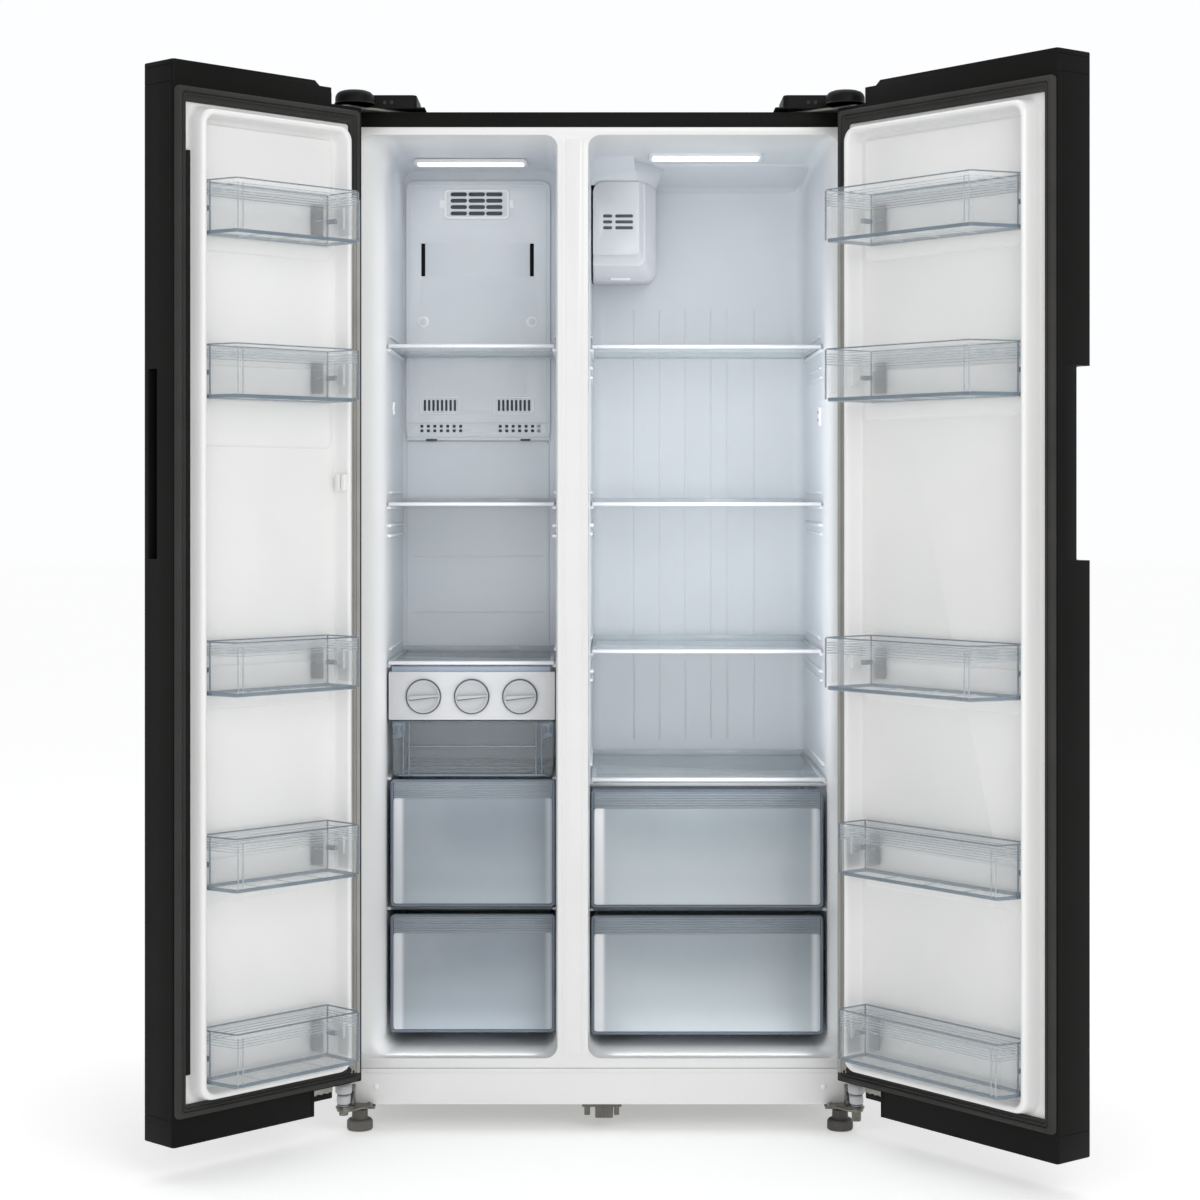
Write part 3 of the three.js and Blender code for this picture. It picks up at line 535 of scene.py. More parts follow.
def toe_panel():
    x, y, z = local("toe_panel")
    b = Build()
    b.prism("y", rrect(x, z, 4, 5), y[0], y[1], "white_steel", bevel=0.9, steps=3)
    b.box((x[0] + 40, x[1] - 40), (y[0] - 0.6, y[0] + 0.5), (z[1] - 9, z[1] - 7.4), "white_steel", 0.4)
    for px in (x[0] + 60, x[1] - 60):
        b.turned("y", [(0, -1.6), (3.5, -1.5), (4.6, -0.7), (4.8, 0.4), (0, 0.4)],
                 (px, 0, (z[0] + z[1]) / 2), "white_plastic", 20)
    b.done("toe_panel_look", "cabinet", ["toe_panel"])


def wrap_trim():
    """Folded front edges and the seam along the top of the painted wrap."""
    b = Build()
    w = HALF_W
    b.box((-w + 2, w - 2), (-0.22, 0.9), (TOP_Z - 24.5, TOP_Z - 1.2), "dark_steel", 0.4)
    for s in (-1, 1):
        x = (s * w - 0.4, s * w + 0.4)
        b.box(x, (2, 5), (BASE_Z + 2, TOP_Z - 3), "dark_steel", 0.35)
    b.box((-w + 60, w - 60), (DEPTH - 14, DEPTH - 11), (TOP_Z - 0.2, TOP_Z + 0.7), "dark_steel", 0.4)
    for i in range(5):
        b.turned("z", [(0, TOP_Z - 0.2), (5, TOP_Z - 0.2), (4.6, TOP_Z + 1), (3, TOP_Z + 1.9),
                       (0, TOP_Z + 2.1)],
                 (-w + 70 + i * (2 * w - 140) / 4, DEPTH - 24, 0), "zinc_steel", 20)
    b.done("wrap_trim", "cabinet")


def hollow_rings(mouth, inside, out, n=10):
    """Rings from a compartment's mouth to its back wall, each moved outwards by out."""
    def ring(x, z, y, r=OPEN_R):
        return [(u, y, v) for u, v in rrect((x[0] - out, x[1] + out), (z[0] - out, z[1] + out), r + out, n)]
    rings = [ring(mouth, OPEN_Z, 2.2), ring(mouth, OPEN_Z, 6)]
    for t in (0.12, 0.25, 0.4, 0.55, 0.7, 0.85, 1.0):
        e = 1 - (1 - t) ** 1.6
        x = tuple(m + (i - m) * e for m, i in zip(mouth, inside))
        rings.append(ring(x, (OPEN_Z[0] + 2 * t, OPEN_Z[1]), 6 + (SPLAY_Y - 6) * t))
    rings.append(ring((inside[0] + 1, inside[1] - 1), (OPEN_Z[0] + 2.5, OPEN_Z[1] - 0.5), 250))
    rings.append(ring((inside[0] + 2, inside[1] - 2), (OPEN_Z[0] + 3, OPEN_Z[1] - 2), 400))
    rings.append(ring((inside[0] + 3.3, inside[1] - 3.3), (OPEN_Z[0] + 3.7, OPEN_Z[1] - 12), 500,
                      OPEN_R + 3))
    for t in (0.35, 0.65, 0.85, 0.96, 1.0):               # rounded into the back wall
        a = math.asin(t)
        d = 22 * (1 - math.cos(a))
        rings.append(ring((inside[0] + 4 + d, inside[1] - 4 - d), (OPEN_Z[0] + 4 + d, OPEN_Z[1] - 18 - d),
                          BACK_Y + out - 22 + 22 * t, OPEN_R + 8))
    return rings


def liner(name, node, mouth, inside, shelf_nodes, ledges, ribs):
    """One compartment's moulded wall, its inside face and a thin outside face joined at the mouth.

    ledges: the (top, (front, back)) of rails on both walls; ribs: where the back wall's upright ribs stand."""
    b = Build()
    rings = hollow_rings(mouth, inside, 0)
    b.rings(hollow_rings(mouth, inside, 1.6)[::-1] + rings, "liner_plastic")
    x0, x1 = inside
    for s, wall in ((1, x0), (-1, x1)):
        for z, y in ledges:
            b.prism("y", quad(sorted((wall - s * 2, wall + s * 7)), (z - 6, z), 2.4, 3), y[0], y[1],
                    "liner_plastic", bevel=2.2, steps=3)
        for shelf_node in shelf_nodes:
            _, y, z = local(shelf_node)
            top = z[0] + 2.6
            b.prism("y", quad(sorted((wall - s * 2, wall + s * 7)), (top - 6.5, top - 0.2), 2.4, 3),
                    y[0] + 14, y[1] - 4, "liner_plastic", bevel=2.2, steps=3)
            if shelf_node.startswith("fridge") and shelf_node[-1] != "4":
                for z in (top - 34, top - 51):
                    rail = [(y[0] + 30, z - 3), (y[1] - 30, z), (y[1] - 30, z + 5), (y[0] + 30, z + 2)]
                    b.prism("x", rounded(rail, 2.4, 4), *sorted((wall - s * 2, wall + s * 5)),
                            "liner_plastic", bevel=1.8, steps=3)
            # upper guide that keeps a shelf from tipping
            b.prism("y", quad(sorted((wall - s * 2, wall + s * 4.5)), (top + 20, top + 25), 1.8, 3),
                    y[0] + 60, y[1] - 30, "liner_plastic", bevel=1.6)
    for x in ribs:
        rib = [(x - 2.2, BACK_Y + 1), (x - 1.2, BACK_Y - 1), (x + 1.2, BACK_Y - 1), (x + 2.2, BACK_Y + 1)]
        b.prism("z", rounded(rib, 0.6, 2), 620, 1450, "liner_plastic", bevel=0.5)
    # step over the machine space
    step = [(STEP_Y, OPEN_Z[0] - 1), (STEP_Y, STEP_Z), (BACK_Y + 1, STEP_Z), (BACK_Y + 1, OPEN_Z[0] - 1)]
    b.prism("x", rounded(step, [2, 16, 2, 2], 6), x0 + 1, x1 - 1, "liner_plastic", bevel=1)
    b.done(name, "cabinet", [node], smooth=50)


def liners():
    liner("freezer_walls", "freezer_liner", FREEZER_X, FREEZER_IN,
          ["freezer_shelf_1", "freezer_shelf_2", "freezer_shelf_3"],
          [(595, (106, 368)), (367, (106, 368)), (1040, (110, 420)), (1022, (110, 420))], [])
    liner("fridge_walls", "fridge_liner", FRIDGE_X, FRIDGE_IN,
          ["fridge_shelf_1", "fridge_shelf_2", "fridge_shelf_3", "fridge_shelf_4"],
          [(365, (106, 368)), (1040, (176, 500)), (779, (176, 500))], [66, 115.6, 165, 214.6, 246, 297])
    b = Build()
    # cross-shaped boss on the freezer's wall
    for y, z in (((212, 236), (1243, 1251)), ((220, 228), (1235, 1259))):
        b.prism("x", quad(y, z, 3.4, 4), FREEZER_IN[0] - 1, FREEZER_IN[0] + 4.2, "white_plastic", bevel=1.2)
    # two-dot boss on the fridge's wall
    z = 1233
    b.prism("x", quad((206, 230), (z - 17, z + 17), 8, 5), FRIDGE_IN[1] - 4.6, FRIDGE_IN[1] + 1,
            "white_plastic", bevel=1.4)
    for dz in (-7, 7):
        b.turned("x", [(0, FRIDGE_IN[1] - 6), (2.6, FRIDGE_IN[1] - 5.6), (3.2, FRIDGE_IN[1] - 4),
                       (0, FRIDGE_IN[1] - 4)], (0, 218, z + dz), "slate", 16)
    # slope from the fridge's ceiling to its back wall
    slope = [(356, 1709.5), (372, 1703), (BACK_Y - 14, 1684), (BACK_Y + 1, 1672), (BACK_Y + 1, 1709.5)]
    b.prism("x", rounded(slope, [2, 14, 16, 1, 1], 6), FRIDGE_IN[0] - 0.5, FRIDGE_IN[1] + 0.5,
            "liner_plastic", bevel=0.8)
    # the ceiling comes down in a slope to the duct's top edge, past the lamp's end
    low = [(FRIDGE_IN[0] - 0.5, 333), (64, 333), (75, 338), (104, 388), (104, BACK_Y + 0.5),
           (FRIDGE_IN[0] - 0.5, BACK_Y + 0.5)]
    high = [(FRIDGE_IN[0] - 0.5, 262), (62, 262), (67, 324), (124, 396), (124, BACK_Y + 0.5),
            (FRIDGE_IN[0] - 0.5, BACK_Y + 0.5)]
    levels = ((1664, 0), (1670.6, 0), (1676, 0.1), (1690, 0.5), (1702, 0.9), (1708, 1))
    b.rings([[(u + (s - u) * t, v + (w - v) * t, z) for (u, v), (s, w) in zip(low, high)]
             for z, t in levels], "liner_plastic")
    # cross rails between the drawers
    for (x0, x1), zz, mat in ((FREEZER_IN, 363.5, "drawer_edge_light"),
                              (FRIDGE_IN, 361.5, "drawer_edge_light"),
                              (FRIDGE_IN, 581, "liner_plastic")):
        b.box((x0 - 1, x1 + 1), (112, 126), (zz - 2.8, zz + 2.8), mat, 1.2)
    b.done("wall_bosses", "cabinet", smooth=60)


def back_and_machine():
    x, _, z = local("back_panel")
    slots = []
    for rows, first_x, first_z, length in ((4, -370, 96, 84), (3, -358, 116, 60)):
        for i in range(6):
            for j in range(rows):
                sx, sz = first_x + i * 108, first_z + j * 40
                slots.append(slot_outline((sx, sx + length), (sz, sz + 10), 5))
    plate_with_holes("back_panel_look", rrect((x[0] + 0.5, x[1] - 0.5), (z[0] + 0.5, z[1] - 0.5), 3, 3),
                     slots, DEPTH - 2.4, DEPTH - 0.2, "cabinet", "zinc_steel", bevel=0.35,
                     replaces=["back_panel"])
    b = Build()
    for zz in (330, 640, 950, 1260, 1560):                # pressed stiffening ribs
        b.prism("y", slot_outline((x[0] + 60, x[1] - 60), (zz, zz + 26), 13, 8), DEPTH - 1, DEPTH + 1.6,
                "zinc_steel", bevel=1.5, steps=3)
    b.prism("y", rrect((x[0] + 24, x[1] - 24), (z[0] + 12, 292), 10, 5), DEPTH - 3.6, DEPTH - 2.5,
            "black_plastic", bevel=0.3)
    screws = [(sx, z[0] + 30 + k * 232) for sx in (x[0] + 12, x[1] - 12) for k in range(8)]
    for sx, sz in screws + [(-250, 296), (0, 296), (250, 296)]:
        b.turned("y", [(0, DEPTH - 0.5), (5.4, DEPTH - 0.5), (5, DEPTH + 1), (3.2, DEPTH + 2.2),
                       (0, DEPTH + 2.4)], (sx, 0, sz), "zinc_steel", 18)
    # the lead's inlet
    b.prism("y", rrect((299, 337), (261, 285), 5, 5), DEPTH - 1, DEPTH + 5.6, "black_plastic", bevel=1.2,
            steps=3)
    b.turned("y", [(0, DEPTH + 4), (7, DEPTH + 4), (7, DEPTH + 7.4), (4.4, DEPTH + 7.6), (4.2, DEPTH + 5.4),
                   (0, DEPTH + 5.4)], (318, 0, 273), "black_plastic", 20)
    b.done("back_panel_detail", "cabinet")


def evaporator_cover():
    x, y, z = (-366.0, -94.0), (430.0, 541.0), (1195.0, 1684.0)
    holes = []
    for cx in (-266.5, -232.5, -199.5):
        for k in range(4):
            holes.append(slot_outline((cx - 15.5, cx + 15.5), (1619 + k * 12, 1626.4 + k * 12), 3.7))
    for cx in (-333.5, -128.5):
        holes.append(slot_outline((cx - 3.7, cx + 3.7), (1504, 1566), 1.2, 3))
    for c in (-302, -162):
        for k in range(8):
            holes.append(slot_outline((c - 30.6 + k * 8.1, c - 26.4 + k * 8.1), (1250, 1271), 1.8, 3))
    for first in (-339, -191):
        for row in (1210, 1218.5):
            for k in range(7):
                u = first + k * 12.2
                holes.append(slot_outline((u, u + 5.6), (row, row + 5.2), 0.8, 2))
    plate_with_holes("evaporator_cover_front", rrect(x, z, 17, 10), holes, y[0], y[0] + 3, "cabinet",
                     "liner_plastic",
                     bevel=0.7, replaces=["evaporator_cover"])
    b = Build()
    ring = lambda d: rrect((x[0] - d, x[1] + d), (z[0] - d, z[1] + d), 17 + d, 10)
    b.sweep("y", ring, [(0, y[0] + 2), (0, y[1]), (-2.6, y[1]), (-2.6, y[0] + 2)], "liner_plastic")
    # moulded step round the cover's face, and its lower lip
    b.sweep("y", ring, [(-7, y[0] + 0.3), (-7.6, y[0] - 0.9), (-9.2, y[0] - 0.9), (-9.8, y[0] + 0.3)],
            "liner_plastic")
    b.box((x[0] + 1.5, x[1] - 1.5), (y[0] - 2.2, y[0] + 1), (1194.2, 1200), "liner_plastic", 1.2)
    b.box((x[0] + 1.5, x[1] - 1.5), (y[0] - 1.4, y[0] + 1), (1226, 1228.4), "liner_plastic", 0.8)
    for u in ((-328, -307), (-150, -131)):
        b.box(u, (y[0] - 3, y[0] + 1), (1193.4, 1197.4), "slate", 0.8)
    # flange behind the cover, out to the walls and ceiling
    b.prism("y", rrect((-379, -71), (596, 1714), 20, 6), y[0] + 7, y[0] + 9, "liner_plastic", bevel=0.5)
    # lower back panel
    b.prism("y", rrect((-364.4, -95.6), (610, 1193), 8, 6), 434.5, 438, "liner_plastic", bevel=1)
    for k in range(5):
        b.box((-352, -108), (433.6, 435), (660 + k * 105, 663 + k * 105), "liner_plastic", 0.6)
    # grille bezel
    bez = lambda d: rrect((-294 - d, -171 + d), (1612 - d, 1668 + d), 8 + d, 8)
    b.sweep("y", bez, [(0.8, y[0] + 0.6), (0, y[0] - 2.2), (-1.2, y[0] - 3), (-3.2, y[0] - 3),
                          (-4.4, y[0] - 2.2), (-4.8, y[0] + 0.6)], "white_plastic")
    for u in ((-303, -294), (-171, -162)):
        b.box(u, (y[0] - 1.4, y[0] + 0.8), (1632, 1648), "white_plastic", 1)
    # dark plates just behind the slots: painted shade for the space seen through them
    for u, v in (((-296, -170), (1612, 1670)), ((-341, -326), (1500, 1570)), ((-136, -121), (1500, 1570)),
                 ((-346, -258), (1204, 1276)), ((-206, -118), (1204, 1276))):
        b.box(u, (y[0] + 5, y[0] + 6.4), v, "slate" if v[0] > 1600 or v[0] < 1300 else "black_plastic", 0.4)
    # raised bezels round the two lower vents
    for c in (-302, -162):
        vent = lambda d, c=c: rrect((c - 38 - d, c + 38 + d), (1244 - d, 1277 + d), 6 + d, 6)
        b.sweep("y", vent, [(0.6, y[0] + 0.6), (0, y[0] - 1.6), (-1.2, y[0] - 2.2), (-2.4, y[0] - 1.6),
                               (-3, y[0] + 0.6)], "white_plastic")
    # round plugs over the screws
    for u in (-333.4, -128.3):
        b.turned("y", [(0, y[0] - 2.2), (8.6, y[0] - 2.2), (10.6, y[0] - 1.4), (11.2, y[0] + 0.4),
                       (0, y[0] + 0.4)], (u, 0, 1418), "white_plastic", 28)
        b.turned("y", [(0, y[0] - 2.5), (6, y[0] - 2.5), (6.6, y[0] - 2.1), (0, y[0] - 2.0)], (u, 0, 1418),
                 "liner_plastic", 24)
    b.done("evaporator_cover_detail", "cabinet")


def duct():
    b = Build()
    x0 = local("duct_housing")[0][0]
    front_holes = []
    for u in ((5.5, 22.5), (28, 61)):
        for k in range(3):
            front_holes.append(slot_outline(u, (1581.8 + k * 10.9, 1587.6 + k * 10.9), 2.8))

    def outline(right, low, high, upper, lower):
        return quad((x0, right), (low, high), [3, lower, 3, upper], 8)

    plate_with_holes("duct_front", outline(72.8, 1534.5, 1670, 20, 9), front_holes, 328.4, 331, "cabinet",
                     "duct_plastic",
                     bevel=0.8, replaces=["duct_housing"])
    # from the plate's rim over a rounded shoulder, a moulded line and a slope to the wall
    stations = [(329.6, 71.6, 1535.8, 1669, 20, 9), (333, 74, 1534, 1670, 20, 10),
                (337, 77, 1530, 1670, 20, 12), (343, 80, 1522, 1670, 19, 14),
                (345, 82.5, 1517.5, 1670, 19, 15), (345.2, 83.6, 1515.6, 1670, 19, 15),
                (350, 86, 1511, 1669.5, 18, 16), (358, 91, 1503, 1668.5, 18, 17),
                (366, 96, 1497, 1667, 17, 18), (374, 100.5, 1491.5, 1665, 16, 19),
                (381, 104, 1488.4, 1662.5, 15, 20),
                (386, 105, 1488.4, 1661, 14, 20), (541, 105, 1497, 1661, 14, 20)]
    b.rings([[(u, y, v) for u, v in outline(*shape)] for y, *shape in stations], "duct_plastic")
    # dark fills in the front plate's slots: painted shade
    for u in ((4.6, 23.4), (27, 62)):
        b.box(u, (329.2, 330.4), (1580.8, 1610.6), "slate", 0.2)
    b.prism("y", slot_outline((19.5, 56.5), (1491.8, 1495.2), 1.7, 4), 366.6, 386, "white_plastic",
            bevel=0.8)
    slit = lambda d: slot_outline((18 - d, 58 + d), (1490.2 - d, 1497 + d), 3.4, 4)
    b.sweep("y", slit, [(0, 370), (0, 367), (-1, 366.6), (-1, 370)], "duct_plastic")
    b.done("duct_body", "cabinet")


def lamps():
    b = Build()
    for node in ("freezer_lamp", "fridge_lamp"):
        x, y, zz = local(node)
        b.prism("z", rrect((x[0] - 6, x[1] + 6), (y[0] - 6, y[1] + 6), 9, 6), zz[0] + 1.2, zz[1] + 3,
                "white_plastic", bevel=1.0)
        b.prism("z", rrect(x, (y[0], y[1] - 24), 6, 6), zz[0] - 0.9, zz[1], "lamp_lens", bevel=1.6, steps=4)
        for k in range(1, 16):
            u = x[0] + (x[1] - x[0]) * k / 16
            b.box((u - 0.5, u + 0.5), (y[0] + 4, y[1] - 28), (zz[0] - 1.4, zz[0] - 0.6), "lamp_lens", 0.3)
    b.done("ceiling_lamps", "cabinet", ["freezer_lamp", "fridge_lamp"])


# ------------------------------------------------------------------ shelves, ice maker and drawers
def shelf(node):
    x, y, z = local(node)
    top = z[1] - 8                                        # glass face; the trim is flush with it
    b = Build()
    b.box((x[0] + 3, x[1] - 3), (y[0] + 6, y[1] - 2), (top - 4.4, top - 0.5), "shelf_glass", 0.7)
    trim = [(y[0], top - 6.4), (y[0] + 11, top - 6.4), (y[0] + 12, top - 0.2), (y[0] + 12, top), (y[0], top)]
    b.prism("x", rounded(trim, [2.4, 1, 0.5, 0.5, 2.2], 4), x[0], x[1], "duct_plastic", bevel=1.2)
    for u in ((x[0], x[0] + 8), (x[1] - 8, x[1])):
        b.box(u, (y[0] + 11, y[1]), (top - 5, top + 0.9), "bin_edge_faint", 1.2)
        b.box((u[0] + 1.5, u[1] - 1.5), (y[0] + 15, y[1] - 8), (top + 0.6, top + 2), "clear_plastic", 0.5)
    lip = [(y[1] - 5, top - 5), (y[1], top - 5), (y[1], top + 8), (y[1] - 3, top + 8)]
    b.prism("x", rounded(lip, [1, 1.4, 1.6, 1.2], 3), x[0] + 1, x[1] - 1, "bin_edge_faint", bevel=1)
    b.done(node + "_look", "cabinet", [node])


def ice_maker():
    x, y, z = local("ice_maker_frame")
    top = z[1] - 9.7
    b = Build()
    knobs = [sum(local("ice_tray_%d" % i)[0]) / 2 for i in (1, 2, 3)]
    axis_z = sum(local("ice_tray_1")[2]) / 2
    # casing: top, sides and back
    b.box(x, (y[0] + 8, y[1]), (top - 3, top), "ice_panel", 1)
    for u in ((x[0], x[0] + 3), (x[1] - 3, x[1])):
        b.box(u, (y[0] + 8, y[1]), (z[0], top - 2), "ice_panel", 0.8)
    b.box((x[0] + 2, x[1] - 2), (y[1] - 6, y[1]), (z[0], top - 2), "ice_panel", 0.8)
    b.box((x[0] + 5, x[1] - 8), (y[0] + 3, y[0] + 11), (top - 0.5, top + 9.7), "blue_strip", 1)
    # sunk seats round the knobs
    for k in knobs:
        b.turned("y", [(32.4, y[0] + 1.5), (33.4, y[0] - 0.5), (31.4, y[0] - 0.9), (30.4, y[0] + 0.6),
                       (30.4, y[0] + 2.2), (32.4, y[0] + 1.5)], (k, 0, axis_z), "ice_panel", 48)
    for u in (x[0] + 9, x[1] - 9):
        b.box((u - 2.5, u + 2.5), (y[0] + 12, y[0] + 40), (z[0] - 1.5, z[0] + 2), "ice_panel", 0.8)
    b.done("ice_maker_case", "cabinet", ["ice_maker_frame"])
    hole_r, turns = 9.6, [-t * math.pi / 16 for t in range(32)]
    holes = [[(k + hole_r * math.cos(t), axis_z + hole_r * math.sin(t)) for t in turns] for k in knobs]
    plate_with_holes("ice_maker_panel", rrect(x, (z[0], top), 2.4, 4), holes, y[0], y[0] + 9, "cabinet",
                     "ice_panel", bevel=0.9)
    for i, k in enumerate(knobs):
        b = Build()
        f = y[0]
        # the knob: a dished disc with a rim and a grip ridge set a little off level, in the panel's plastic
        # made darker as painted shade
        b.turned("y", [(0, f - 4.2), (16, f - 4.6), (24, f - 5.8), (26, f - 7.6), (27.4, f - 8),
                       (28.8, f - 7), (29, f - 5), (29, f - 1.4), (28, f - 0.5), (0, f - 0.5)],
                 (k, 0, axis_z), "ice_knob_painted_shade", 56)
        # a dark ring in the gap round the knob: painted shade
        b.turned("y", [(29, f - 1), (29.2, f - 6.2), (30.3, f - 5.4), (30.6, f - 1), (29, f - 1)],
                 (k, 0, axis_z), "slate", 56)
        tilt = math.radians(4.3)
        c, s = math.cos(tilt), math.sin(tilt)
        ridge = rounded([(-26, -3.6), (26, -1.6), (26, 1.6), (-26, 3.6)], [3, 1.5, 1.5, 3], 4)
        # line: a thin dark strip along the ridge's lower edge, a painted shadow
        line = rounded([(-25, -5.2), (25, -2.6), (25, -1.8), (-25, -3.8)], [0.5, 0.3, 0.3, 0.5], 2)
        ridge, line = ([(k + u * c - v * s, axis_z + u * s + v * c) for u, v in part]
                       for part in (ridge, line))
        b.prism("y", ridge, f - 12.6, f - 3, "ice_knob_painted_shade", bevel=1.6, steps=3)
        # the ridge's painted shadow line
        b.prism("y", line, f - 7.2, f - 5, "slate", bevel=0.2)
        b.rod("y", 9, (f - 1, f + 13), (k, 0, axis_z), "white_plastic", 28)
        b.rod("y", 4, (y[1] - 14, y[1] - 0.5), (k, 0, axis_z), "white_plastic", 18)
        # tray: two rows of five cells with drafted walls, a rim and end plates
        y0, y1 = f + 12, y[1] - 10
        step = (y1 - y0 - 4) / 5
        for side in (-1, 1):
            for n in range(5):
                ya = y0 + 2.5 + n * step
                cu = k + side * 15
                outline = rrect((cu - 14.6, cu + 14.6), (ya, ya + step - 1.2), 5, 5)
                vessel(b, outline, [(axis_z + 17, 0.3), (axis_z + 15.5, 0), (axis_z - 6, -3.2),
                                    (axis_z - 12, -5), (axis_z - 15.4, -7.5)], 1.4, "white_plastic")
        for ya in (y0, y1 - 2.4):
            plate = [(k - 26, axis_z - 17), (k + 26, axis_z - 17), (k + 32, axis_z + 17),
                     (k - 32, axis_z + 17)]
            b.prism("y", rounded(plate, 3, 4), ya, ya + 2.4, "white_plastic", bevel=0.8)
        for u in ((k - 31.6, k - 28.4), (k + 28.4, k + 31.6)):
            b.box(u, (y0 + 1, y1 - 1), (axis_z + 13.5, axis_z + 17.2), "white_plastic", 1)
        b.box((k - 1.4, k + 1.4), (y0 + 1, y1 - 1), (axis_z + 5, axis_z + 16.6), "white_plastic", 0.6)
        name = "ice_tray_%d" % (i + 1)
        b.done(name + "_look", name, [name])


def ice_bucket():
    x, y, z = local("ice_bucket")
    b = Build()
    plan = rrect(x, y, 9, 6)
    vessel(b, plan, [(z[1], 0), (z[1] - 6, 0), (z[1] - 9, -1.4), (z[0] + 14, -2.6), (z[0] + 4, -4.4),
                     (z[0], -9)], 2.4, "bucket_plastic")
    ring = lambda d: offset(plan, d)
    b.sweep("z", ring,
            [(0, z[1] - 1.8), (0, z[1]), (-1, z[1] + 0.8), (-3.6, z[1] + 0.8), (-4.6, z[1]),
             (-4.6, z[1] - 1.8)], "bin_edge")
    front = y[0]
    b.box((x[0] + 14, x[1] - 14), (front - 1, front + 3), (z[0] + 1, z[0] + 5), "bin_edge", 1.2)
    b.box((x[0] + 30, x[1] - 30), (front - 0.8, front + 2.4), (z[0] + 52, z[0] + 55), "bin_edge", 1)
    for u in (x[0] + 30, x[1] - 34, x[0] + 20, x[1] - 24):
        b.box((u, u + 3), (front - 0.6, front + 2), (z[0] + 4, z[1] - 3), "bin_edge", 1)
    for k in range(4):
        b.box((x[0] + 16, x[1] - 16), (y[0] + 60 + k * 62, y[0] + 62 + k * 62), (z[0] + 2, z[0] + 4.4),
              "bin_edge", 0.6)
    # hanging brackets in both top corners
    for u in ((x[0] + 3, x[0] + 24), (x[1] - 24, x[1] - 3)):
        plate = [(u[0], z[1] - 32), (u[1], z[1] - 26), (u[1], z[1] - 1), (u[0], z[1] - 1)]
        b.prism("y", rounded(plate, 3, 4), front + 1.5, front + 5, "bin_edge", bevel=0.8)
        for k in range(2):
            cu = u[0] + 6 + k * 8
            b.box((cu, cu + 4), (front + 0.6, front + 2), (z[1] - 20, z[1] - 8), "drawer_edge", 0.6)
    b.done("ice_bucket_look", "ice_bucket", ["ice_bucket"])


def drawer(node, ribs=7):
    x, y, z = local(node)
    b = Build()
    # tub behind the front
    plan = rrect((x[0] + 6, x[1] - 6), (y[0] + 7, y[1]), 8, 5)
    vessel(b, plan, [(z[1] - 14, 0), (z[1] - 20, 0), (z[1] - 24, -1), (z[0] + 22, -3), (z[0] + 10, -6),
                     (z[0] + 4, -14)], 2.5, "drawer_plastic")
    ring = lambda d: offset(plan, d)
    b.sweep("z", ring,
            [(0, z[1] - 16), (0, z[1] - 13.4), (-5, z[1] - 13.4), (-5, z[1] - 16)], "drawer_edge")
    # front: rim, ribbed top band and sunk panel
    face = rrect(x, z, 8, 6)
    edge = lambda d: offset(face, d)
    b.sweep("y", edge, [(0, y[0] + 8.4), (0, y[0] + 1.6), (-0.8, y[0] + 0.3), (-2.2, y[0]),
                        (-4.2, y[0] + 0.2), (-5.4, y[0] + 1.8), (-5.8, y[0] + 3.4), (-5.8, y[0] + 8.4)],
            "drawer_edge")
    low = z[1] - 34
    b.prism("y", rrect((x[0] + 5, x[1] - 5), (z[0] + 5, low + 1), 5, 5), y[0] + 2, y[0] + 8,
            "crisper_face" if "crisper" in node else "drawer_face", bevel=1, steps=2)
    b.prism("y", rrect((x[0] + 4, x[1] - 4), (low, z[1] - 4), 4, 4), y[0] + 2.6, y[0] + 8,
            "drawer_edge_light", bevel=0.8)
    pitch = 32 / (ribs + 0.5)
    for k in range(ribs):
        zz = low + 2 + k * pitch
        rib = [(y[0] + 3.2, zz), (y[0] + 3.2, zz + pitch * 0.62), (y[0] + 0.5, zz + pitch * 0.5),
               (y[0] + 0.5, zz + pitch * 0.12)]
        b.prism("x", rounded(rib, 0.5, 2), x[0] + 6, x[1] - 6, "drawer_plastic", bevel=0.4)
    # pull lip under the rim
    b.box((x[0] + 12, x[1] - 12), (y[0] + 6, y[0] + 20), (z[1] - 5.5, z[1] - 2.5), "drawer_edge", 1.1)
    for u in (x[0] + 7, x[1] - 9):
        b.box((u, u + 2), (y[0] + 9, y[1] - 20), (z[1] - 26, z[1] - 22), "drawer_edge", 0.6)
    for k in range(3):
        yy = y[0] + 60 + k * (y[1] - y[0] - 100) / 2
        b.box((x[0] + 26, x[1] - 26), (yy, yy + 2), (z[0] + 5.5, z[0] + 8), "drawer_edge", 0.6)
    b.done(node + "_look", node, [node])


# ------------------------------------------------------------------ doors, in their own frames
DOOR_Z = (59.0, 1779.0)
DOOR_OUT, DOOR_IN = -40, 35.7             # b of the outer face and of the inner one
DIKE_Z = (130.0, 1704.0)                  # the raised dike round the liner's recess
DIKE_A = 38.0
GRIP_Z = (985.0, 1294.0)
BIN_H = 87.0
DOOR_WIDTH = {"freezer_door": 384, "fridge_door": 480}


